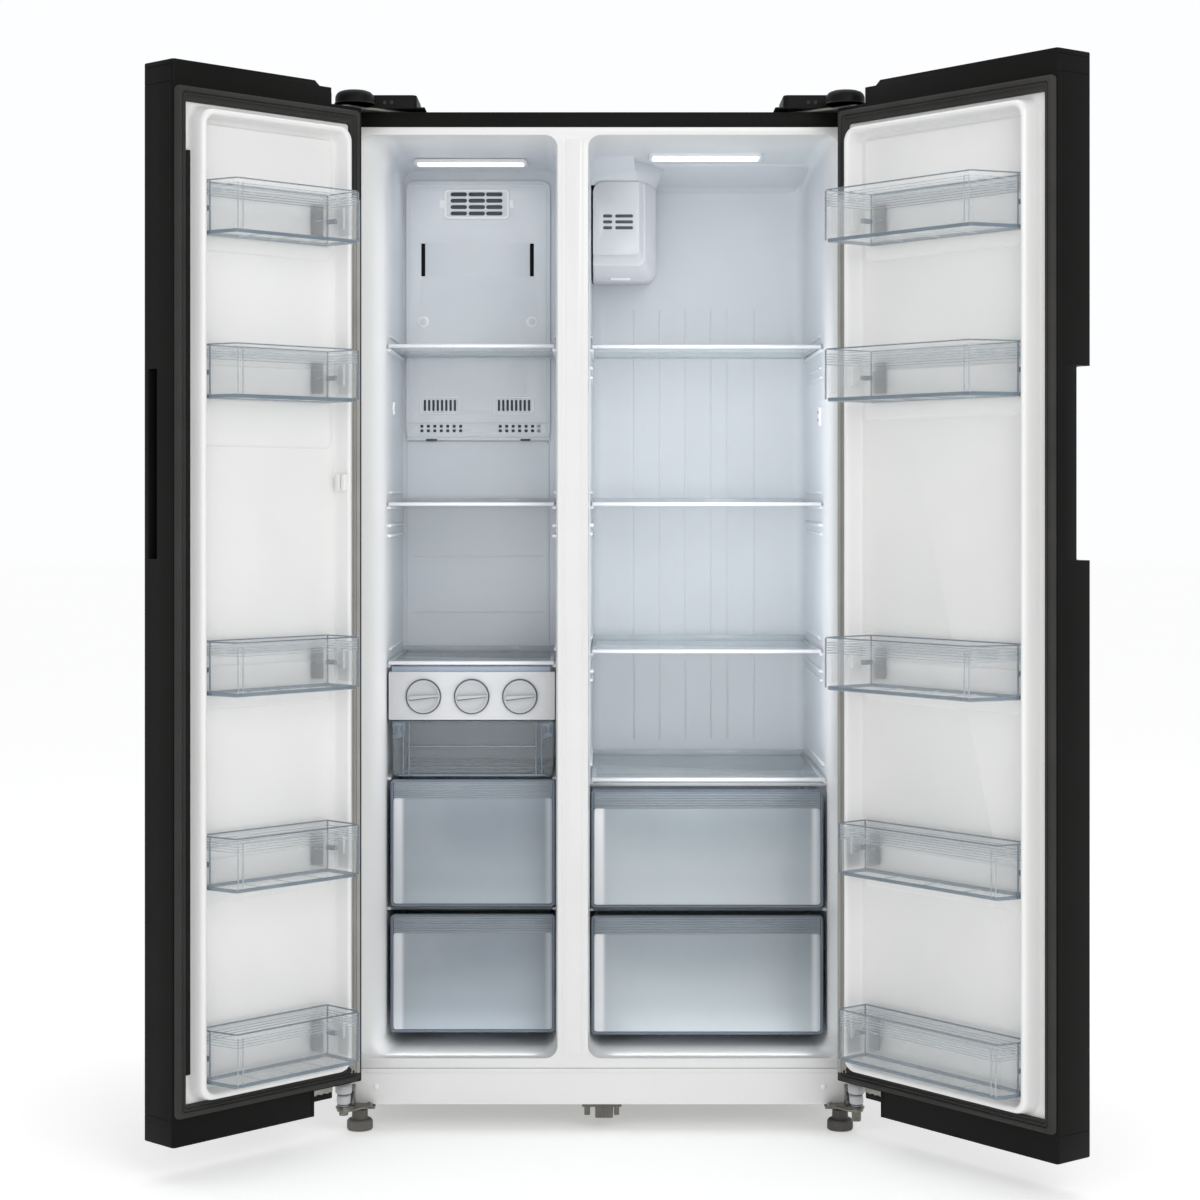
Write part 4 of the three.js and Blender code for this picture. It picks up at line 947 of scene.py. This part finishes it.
def door_level(width, fridge, z, a_lo, cut_out, inset):
    """The plan outline of a door at one height, with the same count of points at each height."""
    a_hi, b_out, b_in = width - inset, DOOR_OUT + inset, DOOR_IN
    r, rr = 4 - inset, 4
    d = cut_out
    pts = []

    def arc(ca, cb, rad, t0, t1, n=5):
        for i in range(n + 1):
            t = math.radians(t0 + (t1 - t0) * i / n)
            pts.append((ca + rad * math.cos(t), cb + rad * math.sin(t), z))

    a0 = a_lo + inset
    arc(a0 + r, b_out + r, r, 180, 270)
    if fridge:
        arc(a_hi - d - r, b_out + r, r, 270, 360)
        e = min(2.5, d)
        pts += [(a_hi - d, -8 - e, z), (a_hi - d + e * 0.3, -8 - e * 0.3, z), (a_hi - d + e, -8, z)]
        pts += [(a_hi - min(2, d), -8, z), (a_hi - min(0.6, d), -7.4, z), (a_hi, -6, z)]
    else:
        arc(a_hi - r, b_out + r, r, 270, 360)
        e = min(2, d)
        pts += [(a_hi, -29, z), (a_hi - e * 0.4, -28.4, z), (a_hi - e, -28, z), (a_hi - d, -27, z),
                (a_hi - d, -6, z),
                (a_hi - e, -5.6, z), (a_hi - e * 0.4, -5.2, z), (a_hi, -4.6, z)]
    arc(a_hi - rr, b_in - rr, rr, 0, 90, 3)
    arc(a0 + rr, b_in - rr, rr, 90, 180, 3)
    return pts


def door_panel(name, width, fridge, matrix):
    z0, z1 = DOOR_Z
    notch_a, notch_top, notch_low = 95, 1744, 101
    g0, g1 = GRIP_Z
    cap_a = notch_a - 7
    plan = [(z0, notch_a, 0, 1.6), (z0 + 0.5, notch_a, 0, 0.7), (z0 + 1.8, notch_a, 0, 0),
            (notch_low, notch_a, 0, 0), (notch_low, -11, 0, 0.8), (notch_low + 0.8, -11, 0, 0)]
    ends = [(3.2, 0), (3.4, 22), (4.2, 28), (5.8, 31), (10, 32)]   # the grip's ends: past its edge, deep
    plan += [(g0 + e, -11, d, 0) for e, d in ends] + [(g1 - e, -11, d, 0) for e, d in ends[::-1]]
    plan += [(notch_top - 0.8, -11, 0, 0), (notch_top, -11, 0, 0.8), (notch_top, cap_a - 33, 0, 0),
             (z1 - 8.8, cap_a - 33, 0, 0), (z1 - 8, cap_a - 33, 0, 0.8),
             (z1 - 8, cap_a - 8, 0, 0), (z1 - 1.8, cap_a, 0, 0), (z1 - 0.5, cap_a + 0.6, 0, 0.7),
             (z1, cap_a + 0.8, 0, 1.6)]
    b = Build(matrix)
    b.rings([door_level(width, fridge, z, a, d, i) for z, a, d, i in plan], "dark_steel")
    # seam between the outer skin and the end cap
    b.box((width - 0.5, width + 0.35), (29.2, 30.4), (z0 + 30, z1 - 12), "seal_dark", 0.25)
    for aa in (notch_a + 40, width - 26):
        b.turned("z", [(0, z1 - 0.5), (6, z1 - 0.5), (5.6, z1 + 0.5), (4, z1 + 0.9), (0, z1 + 1)],
                 (aa, 0, 0), "black_plastic", 22)
    # hinge collar in the top notch and under the lower one
    b.turned("z", [(9, notch_top - 1), (15, notch_top - 1), (15, notch_top + 1.8), (13.6, notch_top + 2.4),
                   (9, notch_top + 2.4)], (0, 0, 0), "black_plastic", 28)
    b.turned("z", [(9, notch_low + 1), (15, notch_low + 1), (15, notch_low - 2.2), (13.6, notch_low - 3),
                   (9, notch_low - 3)], (0, 0, 0), "white_plastic", 28)
    arc = [(54.5 * math.cos(math.radians(t)), 54.5 * math.sin(math.radians(t))) for t in range(-44, 29, 8)]
    b.prism("z", arc + [(62, 34.3), (62, -37.8)], notch_top - 0.5, 1764, "dark_steel", bevel=1)
    # steel strip and stop in the lower notch
    b.box((46, notch_a + 1), (-16, 26), (notch_low - 11, notch_low + 0.5), "zinc_steel", 0.8)
    b.box((40, notch_a + 1), (-12, 18), (notch_low - 24, notch_low - 10), "black_plastic", 1.4)
    b.box((notch_a - 0.8, notch_a + 6), (-40.3, 35.9), (z0 - 0.2, notch_low + 0.6), "dark_steel", 0.6)
    for k in range(3):
        b.turned("z", [(0, notch_low - 12.4), (3.4, notch_low - 12.4), (3.8, notch_low - 10.8),
                       (0, notch_low - 10.8)], (56 + k * 13, 21.5, 0), "zinc_steel", 16)
    b.done(name + "_panel_look", name, [name + "_panel"])


def door_liner(name, width, fridge, matrix, bins):
    b = Build(matrix)
    # flat flange under the gasket; outside it the dark panel shows
    b.prism("y", rrect((8, width - 8), (110, 1732), 5, 4), 35.2, 36.6, "door_plastic", bevel=0.5)
    free = width - 32 - (5 if fridge else 0)
    a, z = (DIKE_A, free), DIKE_Z

    def ring(d, lift):
        path = rrect((a[0] + d, a[1] - d), (z[0] + d, z[1] - d), max(2.0, 24 - d * 0.55), 8)
        return [(u, lift, v) for u, v in path]

    profile = [(-7, 36.2), (-4.5, 36.9), (-2.2, 38.6), (-0.8, 42), (0, 50), (0.8, 60), (1.6, 65.5),
               (3.2, 68.6), (5.4, 69.9), (7.8, 70),
               (9.6, 69.2), (10.9, 67.2), (11.5, 64), (12, 52), (12.6, 41), (13.6, 37.2), (16, 35),
               (20, 34.1), (28, 34)]
    b.rings([ring(d, w) for d, w in profile], "door_plastic", start=False, end=True)
    # raised stages of the recess, each ending in a rounded shelf where a bin hangs
    inside = (a[0] + 11.5, a[1] - 11.5)
    stages = [(bins[0] - 26, DIKE_Z[1] - 18, 8), (bins[1] - 30, bins[1] + 60, 8)]
    if not fridge:
        stages[1] = (1164, bins[1] + 60, 8)
    stages += [(zz - 28, zz + 50, 7.6) for zz in bins[2:4]]
    for lo, hi, lift in stages:
        face = []
        for t in (0, 0.12, 0.3, 0.5, 0.7, 0.88, 1.0):
            d = 7 * t
            y = 33.4 + lift * (0.5 - 0.5 * math.cos(math.pi * t))
            across = (inside[0] + 3 + d * 1.8, inside[1] - 0.6)
            face.append([(u, y, v) for u, v in quad(across, (lo + d, hi - d), [14, 2, 2, 8], 6)])
        b.rings(face, "door_plastic")

    def lug(aa, bb, zz):
        """A small lug on the recess's walls."""
        b.prism("y", quad(aa, zz, 1.6, 3), bb[0], bb[1], "door_plastic", bevel=1.2)

    if not fridge:
        lug((inside[0] - 1, inside[0] + 8), (45, 56), (1097, 1125))
        lug((inside[0] - 1, inside[0] + 8), (60, 68), (1097, 1125))
        lug((inside[1] - 5, inside[1] + 1), (50, 62), (1097, 1122))
    for zz in bins:                                        # lugs that each bin hangs on
        for u in ((inside[0] - 1, inside[0] + 5), (inside[1] - 3, inside[1] + 1)):
            lug(u, (46, 62), (zz + 30, zz + 66))
    b.done(name + "_liner_look", name, [name + "_liner"], smooth=50)


def door_gasket(name, width, fridge, matrix):
    b = Build(matrix)
    a, z = (2.0, width - 2.0), (105.0, 1737.0)

    def ring(d, lift):
        top = z[1] - d - (4 if d > 15 else 0)
        path = rrect((a[0] + d, a[1] - d), (z[0] + d, top), max(1.5, 7 - d * 0.1), 4)
        return [(u, lift, v) for u, v in path]

    # lips: outer flap, magnet chamber, two bellows folds and an inner fin
    profile = [(0.4, 37), (-0.3, 39.5), (0, 43), (0.8, 45.6), (2.2, 47.2), (4, 47.7), (7, 47.7),
               (8.6, 47.2), (9.2, 45.6), (9.6, 44.4), (10.4, 44.2),
               (11, 45.4), (11.8, 46.4), (13, 46.4), (13.8, 45.2), (14.2, 43.4), (15, 42.8), (15.8, 43.6),
               (16.8, 44.2), (18, 43.8), (19, 42), (19.6, 39.5), (20, 37), (10, 36.9)]
    b.rings([ring(d, w) for d, w in profile], "seal", loop=True)
    # a lighter copy of the seal over the hinge side's lips: painted light
    b.prism("z", [(a[0] + d, w + 0.2) for d, w in profile[1:-1]], z[0] + 14, z[1] - 150, "seal_painted_light",
            bevel=0.1)
    if not fridge:                                         # darker strip beside the liner at the free end
        u = (width - 2 - 20 - 9.5, width - 2 - 20 + 0.5)
        strip = [(u[0], 36.4), (u[1], 36.4), (u[1], 43), (u[0] + 1, 42)]
        b.prism("z", rounded(strip, 1.2, 3), 172, 1636, "seal_dark", bevel=0.8)
    b.done(name + "_gasket_look", name, [name + "_gasket"], smooth=30)


def door_bin(name, index, fridge, matrix, z):
    if not fridge:
        hinge, front, corner, end, shoulder = 72, 126, 327, 338, 70
    elif index < 3:
        hinge, front, corner, end, shoulder = 80, 152, 405, 429, 69
    else:
        hinge, front, corner, end, shoulder = 66, 108, 420, 429, 69
    back = 42
    b = Build(matrix)
    shape = [(hinge, back), (end, back), (end, shoulder), (corner, front), (hinge, front)]
    plan = rounded(shape, [4, 4, 6, 9, 10], 5)
    top = z + BIN_H
    levels = [(top, 0), (top - 5, 0), (top - 7, -0.8), (z + 22, -1.8), (z + 6, -3), (z + 1.5, -4.2),
              (z, -6.5)]
    vessel(b, plan, levels, 2.2, "clear_plastic")
    ring = lambda d: offset(plan, d)
    b.sweep("z", ring, [(0, top - 1.6), (0, top - 0.2), (-0.6, top + 0.5), (-2.4, top + 0.5),
                         (-3, top - 0.2), (-3, top - 1.6)], "bin_edge")
    b.sweep("z", ring, [(-3.4, z + 1.2), (-2.6, z + 2), (-2.5, z + 6.4), (-3.2, z + 7), (-5.6, z + 6.4),
                         (-6.2, z + 1.6)], "bin_edge")
    # fine level ribs round the upper part
    for k in range(5 if fridge else 4):
        zz = top - 9 - k * 4.2
        b.sweep("z", ring, [(-0.5, zz - 0.6), (-0.15, zz - 0.35), (-0.15, zz + 0.35), (-0.5, zz + 0.6),
                             (-1.6, zz + 0.6), (-1.6, zz - 0.6)], "bin_edge_faint")
    # upright edges: free end, shoulder, chamfer corner and hinge end
    posts = [((end - 1.4, back + 3), 1.7), ((end - 1.2, shoulder), 1.4), ((hinge + 1.6, front - 3), 1.5),
             ((hinge + 1.4, back + 3), 1.4), ((end - 1.2, back + 12), 0.9)]
    for (u, v), r in posts:
        b.turned("z", [(0, z + 4), (r, z + 4.6), (r, top - 2), (0, top - 1)], (u, v, 0), "bin_edge", 12)
    for u in (corner - 4, corner - 14):
        b.box((u, u + 1.2), (front - 2.6, front - 0.4), (z + 6, top - 7), "bin_edge_faint", 0.4)
    # clip moulding at the hinge end
    cu = hinge + 12
    b.box((cu, cu + 1.6), (front - 40, front - 5), (z + 14, top - 24), "clear_plastic", 0.6)
    b.box((cu + 24, cu + 25.6), (back + 4, back + 34), (z + 16, top - 20), "clear_plastic", 0.6)
    b.box((cu, cu + 25), (back + 3, back + 4.6), (z + 16, top - 20), "clear_plastic", 0.6)
    b.box((cu + 4, cu + 20), (back + 6, back + 8), (z + 40, z + 43), "bin_edge", 0.6)
    for k in range(3):
        u = hinge + (corner - hinge) * (k + 1) / 4
        b.box((u - 0.8, u + 0.8), (back + 8, front - 10), (z + 2.2, z + 4), "bin_edge_faint", 0.5)
    for u in ((hinge - 3, hinge + 4), (end - 4, end + 0.6)):   # hooks over the liner's lugs
        b.box(u, (back + 2, back + 24), (z + 38, z + 46), "bin_edge", 1)
    node = "%s_bin_%d" % (name.replace("_door", ""), index + 1)
    b.done(node + "_look", name, [node])


def doors():
    for name, matrix, fridge in (("freezer_door", FREEZER_DOOR, False), ("fridge_door", FRIDGE_DOOR, True)):
        width = DOOR_WIDTH[name]
        levels = [local("%s_bin_%d" % (name.replace("_door", ""), i + 1))[2][0] for i in range(5)]
        door_panel(name, width, fridge, matrix)
        door_liner(name, width, fridge, matrix, levels)
        door_gasket(name, width, fridge, matrix)
        for i, z in enumerate(levels):
            door_bin(name, i, fridge, matrix, z)


# ------------------------------------------------------------------ hinges, feet and what carries the cabinet
def hardware(side):
    m = CABINET if side == "left" else CABINET @ Matrix.Diagonal((-1, 1, 1, 1))
    px, py = -435, -48                                    # the door's pin
    b = Build(m)
    plate = [(-446, -48), (-444, -58), (-435, -64), (-424, -60), (-400, -30), (-320, 30), (-320, 96),
             (-430, 96), (-446, 30)]
    b.prism("z", rounded(plate, [6, 6, 8, 8, 16, 14, 8, 8, 16], 4), TOP_Z + 0.3, TOP_Z + 4.3, "zinc_steel",
            bevel=0.7)
    b.rod("z", 6, (1744.8, TOP_Z + 1), (px, py, 0), "zinc_steel", 20)
    for u, v in ((-400, 40), (-345, 70), (-405, 76), (-345, 32)):
        b.turned("z", [(0, TOP_Z + 4), (5.5, TOP_Z + 4), (5.5, TOP_Z + 7.5), (0, TOP_Z + 7.8)], (u, v, 0),
                 "zinc_steel", 6)
    b.done("top_hinge_%s_look" % side, "cabinet", ["top_hinge_" + side])
    b = Build(m)
    t = TOP_Z + 5
    b.turned("z", [(0, t), (33, t), (33, 1762), (32.4, 1766), (30.4, 1770), (27, 1773), (21, 1775.2),
                   (12, 1776.2), (0, 1776.4)], (-416, -50, 0), "black_plastic", 48)
    b.turned("z", [(34.2, t), (34.6, t + 1.2), (33.6, t + 2.6), (32.5, t + 2.6), (32.5, t)], (-416, -50, 0),
             "black_plastic", 48)
    b.prism("z", rrect((-448, -314), (-7, 104), 9, 5), t, 1776, "black_plastic", bevel=2.2, steps=3)
    b.prism("z", rrect((-440, -392), (-50, 10), 4, 3), t, 1765.4, "black_plastic", bevel=2, steps=3)
    b.prism("z", rrect((-322, -300), (-4, 90), 4, 3), t, 1755.6, "black_plastic", bevel=1.4, steps=2)
    b.prism("z", rrect((-436, -328), (6, 92), 6, 4), 1775.6, 1776.8, "black_plastic", bevel=0.6)
    for u, v in ((-356, 14), (-356, 84), (-430, 84)):      # screw wells
        b.turned("z", [(4.6, 1776.4), (6.2, 1776.6), (6.4, 1777.8), (5, 1778), (4.6, 1776.4)], (u, v, 0),
                 "black_plastic", 22)
        b.turned("z", [(0, 1776.4), (4.4, 1776.4), (4.2, 1777.2), (0, 1777.4)], (u, v, 0), "zinc_steel", 18)
    for k in range(2):
        b.prism("y", rrect((-372 + k * 12, -366 + k * 12), (1760, 1766), 2, 3), -8.4, -6.6, "seal",
                bevel=0.4)
    b.prism("z", rrect((-444, -318), (-3, 100), 8, 4), 1764, 1765.2, "black_plastic", bevel=0.4)
    b.done("hinge_cover_%s_look" % side, "cabinet", ["hinge_cover_" + side])
    b = Build(m)
    low = [(-444, -6), (-386, -6), (-386, 60), (-430, 60), (-444, 40)]
    b.prism("z", rounded(low, [2, 2, 6, 6, 12], 4), 38.2, 43.6, "hinge_steel", bevel=0.8)
    tongue = [(-447, -50), (-443, -60), (-435, -63), (-424, -60), (-400, -34), (-391, -12), (-444, -12)]
    b.prism("z", rounded(tongue, [5, 5, 7, 7, 12, 3, 3], 4), 46, 51, "hinge_steel", bevel=0.8)
    joggle = [(-16, 46), (-12, 46), (-4, 38.4), (2, 38.4), (2, 43.4), (-4, 43.4), (-12, 50.8), (-16, 50.8)]
    b.prism("x", rounded(joggle, 1.4, 3), -444, -389, "hinge_steel", bevel=0.7)
    b.turned("z", [(0, 38.6), (7.5, 38.6), (8, 40), (8, 46.5), (0, 46.5)], (px, py, 0), "hinge_steel", 20)
    b.turned("z", [(0, 50.6), (9, 50.6), (9.4, 52), (9, 56), (10.6, 58), (11.6, 60), (12, 64), (11.6, 71),
                   (10, 72.6), (10, 75), (13.6, 76.4), (14.4, 78), (14.4, 88), (13.4, 91), (11.4, 92.4),
                   (0, 92.4)], (px, py, 0), "ice_panel", 36)
    for za in (57.4, 73.8):                               # grooves round the bushing
        b.turned("z", [(9, za - 0.9), (10.9, za - 0.7), (10.9, za + 0.7), (9, za + 0.9)], (px, py, 0),
                 "slate", 36)
    b.turned("z", [(9.2, 50.6), (13.4, 50.8), (14, 52.6), (12.8, 54.6), (9.2, 54.6)], (px, py, 0),
             "hinge_steel", 32)
    b.turned("z", [(0, 92), (5, 92), (5, 99), (4, 100), (0, 100)], (px, py, 0), "hinge_steel", 20)
    upright = [(-40, 43), (-4, 43), (-4, 82), (-16, 82), (-40, 60)]
    b.prism("x", rounded(upright, [2, 2, 3, 8, 8], 4), -424, -419, "hinge_steel", bevel=0.6)
    for za, zb in ((51, 55), (76, 81)):                   # rolled edges of the hinge's upright
        b.prism("x", slot_outline((-38, -6), (za, zb), 2.4, 4), -425.4, -418, "hinge_steel", bevel=0.8)
    b.tube([(-445, -16, 52), (-446, -46, 52), (-441.5, -57.5, 52), (-434, -61, 52), (-425, -58, 52),
            (-402, -33, 52), (-394, -14, 52)], 1.5, "hinge_steel", 8)
    for u, v in ((-402, 20), (-402, 46)):
        b.rod("z", 6, (34.4, 38.4), (u, v, 0), "hinge_steel", 6)
    if side == "right":
        b.rod("z", 8, (29, 39), (px, py, 0), "hinge_steel", 6)
    b.done("lower_hinge_%s_look" % side, "cabinet", ["lower_hinge_" + side])
    name = "levelling_foot_" + side
    x, y, _ = local(name)
    cx, cy = (x[0] + x[1]) / 2, (y[0] + y[1]) / 2
    b = Build(CABINET)
    count = 96
    rings = []
    levels = [(19, 0, 0), (21, 0.3, 0.2), (21.9, 1.6, 0.6), (22.3, 4, 1.5), (22.3, 13, 1.5),
              (21.9, 15.6, 0.6), (20.6, 17.4, 0.1), (18.6, 18.8, 0), (14.4, 19.2, 0), (13.7, 20.6, 0),
              (13.5, 34, 0), (12.4, 35.2, 0), (5.2, 35.4, 0)]
    levels += [(5.2 - (0.5 if k % 2 else 0), 36 + k * 1.2, 0) for k in range(23)]
    for r, zz, d in levels:
        ring = []
        for i in range(count):
            turn = 2 * math.pi * i / count
            reach = r - d * (0.5 - 0.5 * math.cos(12 * turn)) ** 2
            ring.append((cx + reach * math.cos(turn), cy + reach * math.sin(turn), zz))
        rings.append(ring)
    # the right foot takes a darker copy of the left foot's plastic: painted shade
    b.rings(rings, "grey_plastic" if side == "left" else "grey_plastic_painted_shade")
    b.done(name + "_look", name, [name])


def rollers():
    b = Build()
    at_y, at_z = 575, 22
    b.turned("x", [(0, -414), (3.4, -414), (4, -413), (4, 413), (3.4, 414), (0, 414)], (0, at_y, at_z),
             "zinc_steel", 24)
    for s in (-1, 1):
        c = s * 400
        b.turned("x", [(4.2, c - 9), (9, c - 11), (13, c - 10.4), (14, c - 7.6), (18, c - 7.6),
                       (19.4, c - 10.6), (21.2, c - 10.6), (22, c - 9.4), (22, c + 9.4), (21.2, c + 10.6),
                       (19.4, c + 10.6), (18, c + 7.6), (14, c + 7.6), (13, c + 10.4), (9, c + 11),
                       (4.2, c + 9)], (0, at_y, at_z), "grey_plastic", 48)
    b.done("rear_rollers_look", "rear_rollers", ["rear_rollers"])
    _, _, z = local("centre_support")
    b = Build()
    b.prism("z", rrect((-31, 37), (6, 60), 3, 3), 39, z[1], "grey_plastic", bevel=0.8)
    b.prism("z", rounded([(-8.5, 6), (22.5, 6), (20, 46), (-6, 46)], 3, 3), z[0], 39.6, "grey_plastic",
            bevel=1.6, steps=3)
    for u in ((-27, -17), (24, 33)):
        b.box(u, (6, 12), (25, 40), "grey_plastic", 1.4)
    for u in (0, 7, 14):
        b.box((u - 0.8, u + 0.8), (5.2, 7), (24, 38), "grey_plastic", 0.5)
    b.done("centre_support_look", "cabinet", ["centre_support"])


def machine():
    """Pipes and fixings of the machine space, seen through the back's slots."""
    b = Build()
    cx, cy = (sum(side) / 2 for side in local("compressor")[:2])
    b.tube([(cx + 60, cy - 40, 150), (cx + 110, cy - 48, 168), (cx + 190, cy - 44, 170),
            (cx + 320, cy - 30, 166), (cx + 400, cy - 10, 150), (cx + 420, cy, 110),
            (cx + 420, cy + 10, 70)], 4, "copper")
    b.tube([(cx - 55, cy - 30, 150), (cx - 100, cy - 44, 190), (cx - 150, cy - 50, 220),
            (cx - 190, cy - 50, 262)], 3, "copper")
    b.box((cx + 74, cx + 112), (cy - 31, cy + 31), (99, 161), "black_plastic", 3)
    for s in (-1, 1):
        for t in (-1, 1):
            b.turned("z", [(0, 52.5), (7, 52.5), (7, 56), (5, 57), (5, 62), (0, 62)],
                     (cx + 78 * s, cy + 54 * t, 0), "zinc_steel", 6)
    b.done("machine_pipes", "cabinet")


# CAD nodes that keep their shape and get a better material
CARRIED = {"cabinet_wrap": "dark_steel", "cabinet_insulation": "foam", "base_pan": "zinc_steel",
           "compressor": "compressor_paint", "evaporator": "aluminium_fins",
           "evaporator_fan": "black_plastic", "freezer_door_insulation": "foam",
           "fridge_door_insulation": "foam"}

front_frame()
toe_panel()
wrap_trim()
liners()
back_and_machine()
evaporator_cover()
duct()
lamps()
for name in sorted(frame["nodes"]):
    if "_shelf_" in name:
        shelf(name)
ice_maker()
ice_bucket()
for name in ("freezer_drawer_upper", "freezer_drawer_lower", "crisper_upper", "crisper_lower"):
    drawer(name)
doors()
hardware("left")
hardware("right")
rollers()
machine()
for node, mat in CARRIED.items():
    mesh = frame["nodes"][node].data
    mesh.materials.clear()
    mesh.materials.append(MAT[mat])


# ------------------------------------------------------------------ floor, light and camera
def area_light(name, at, aim, size, power, color=(1, 1, 1)):
    data = bpy.data.lights.new(name, "AREA")
    data.shape = "RECTANGLE"
    data.size, data.size_y = size
    data.energy = power
    data.color = color
    obj = bpy.data.objects.new(name, data)
    bpy.context.scene.collection.objects.link(obj)
    obj.location = at
    obj.rotation_euler = (Vector(aim) - Vector(at)).to_track_quat("-Z", "Y").to_euler()
    return obj


def stage():
    mesh = bpy.data.meshes.new("studio_floor")
    half, level = 40, -0.0005                             # just under the feet
    mesh.from_pydata([(x * half, y * half, level) for x, y in ((-1, -1), (1, -1), (1, 1), (-1, 1))], [],
                     [[0, 1, 2, 3]])
    mesh.materials.append(MAT["floor"])
    ground = bpy.data.objects.new("studio_floor", mesh)
    bpy.context.scene.collection.objects.link(ground)
    world = bpy.data.worlds.new("studio")
    world.use_nodes = True
    sky = world.node_tree.nodes["Background"]
    sky.inputs["Color"].default_value = (0.985, 0.99, 1.0, 1)
    nodes, links = world.node_tree.nodes, world.node_tree.links
    # a white wall behind the object, a dimmer room in front of it
    place = nodes.new("ShaderNodeTexCoord")
    split = nodes.new("ShaderNodeSeparateXYZ")
    wall = nodes.new("ShaderNodeMapRange")
    links.new(place.outputs["Generated"], split.inputs["Vector"])
    links.new(split.outputs["Y"], wall.inputs["Value"])
    for key, value in (("From Min", -0.1), ("From Max", 0.6), ("To Min", 0.5), ("To Max", 1.0)):
        wall.inputs[key].default_value = value
    links.new(wall.outputs["Result"], sky.inputs["Strength"])
    bpy.context.scene.world = world
    # studio lights, in metres from the cabinet's middle, its front plane and the floor
    area_light("key", (CX + 1.7, FY - 4.2, 2.8), (CX, FY, 0.9), (2.6, 2.2), 58)
    area_light("front_fill", (CX - 1.4, FY - 4.8, 1.6), (CX, FY, 0.9), (2.8, 2.4), 24)
    area_light("top", (CX, FY + 0.2, 3.6), (CX, FY + 0.2, 0), (3, 2.4), 26)
    # soft fill inside each compartment, as its own lamp gives
    for name, x, z, size, power in (("freezer_fill", -235, 1090, (0.24, 1.04), 0.5),
                                    ("fridge_fill", 190, 1020, (0.3, 0.86), 1.5),
                                    ("freezer_low", -240, 137, (0.26, 0.02), 0.05),
                                    ("fridge_low", 190, 137, (0.34, 0.02), 0.07)):
        lamp = area_light(name, (CX + x * MM, FY + 0.02, z * MM), (CX + x * MM, FY + 1, z * MM), size,
                          power, (0.97, 0.985, 1))
        lamp.visible_camera = lamp.visible_glossy = lamp.visible_transmission = False
    for node, power in (("freezer_lamp", 0.035), ("fridge_lamp", 0.015)):
        lo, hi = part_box(node)
        mid = (lo + hi) / 2
        lamp = area_light(node + "_glow", (mid.x, mid.y, lo.z - 0.006), (mid.x, mid.y + 0.05, 0),
                          (hi.x - lo.x, hi.y - lo.y), power, (0.98, 0.99, 1))
        lamp.visible_camera = lamp.visible_glossy = lamp.visible_transmission = False


def camera():
    data = bpy.data.cameras.new("camera")
    data.sensor_width = 36
    data.lens = 75.45                                     # lens and place: fitted to the photo's edges
    data.shift_y = -1 / 12                                # level view, moved down to the object's middle
    data.clip_end = 60
    obj = bpy.data.objects.new("camera", data)
    bpy.context.scene.collection.objects.link(obj)
    obj.location = (CX, FY - 4.315, 1.082)
    obj.rotation_euler = (math.pi / 2, 0, 0)
    bpy.context.scene.camera = obj


stage()
camera()
bpy.context.scene.view_settings.view_transform = "Standard"
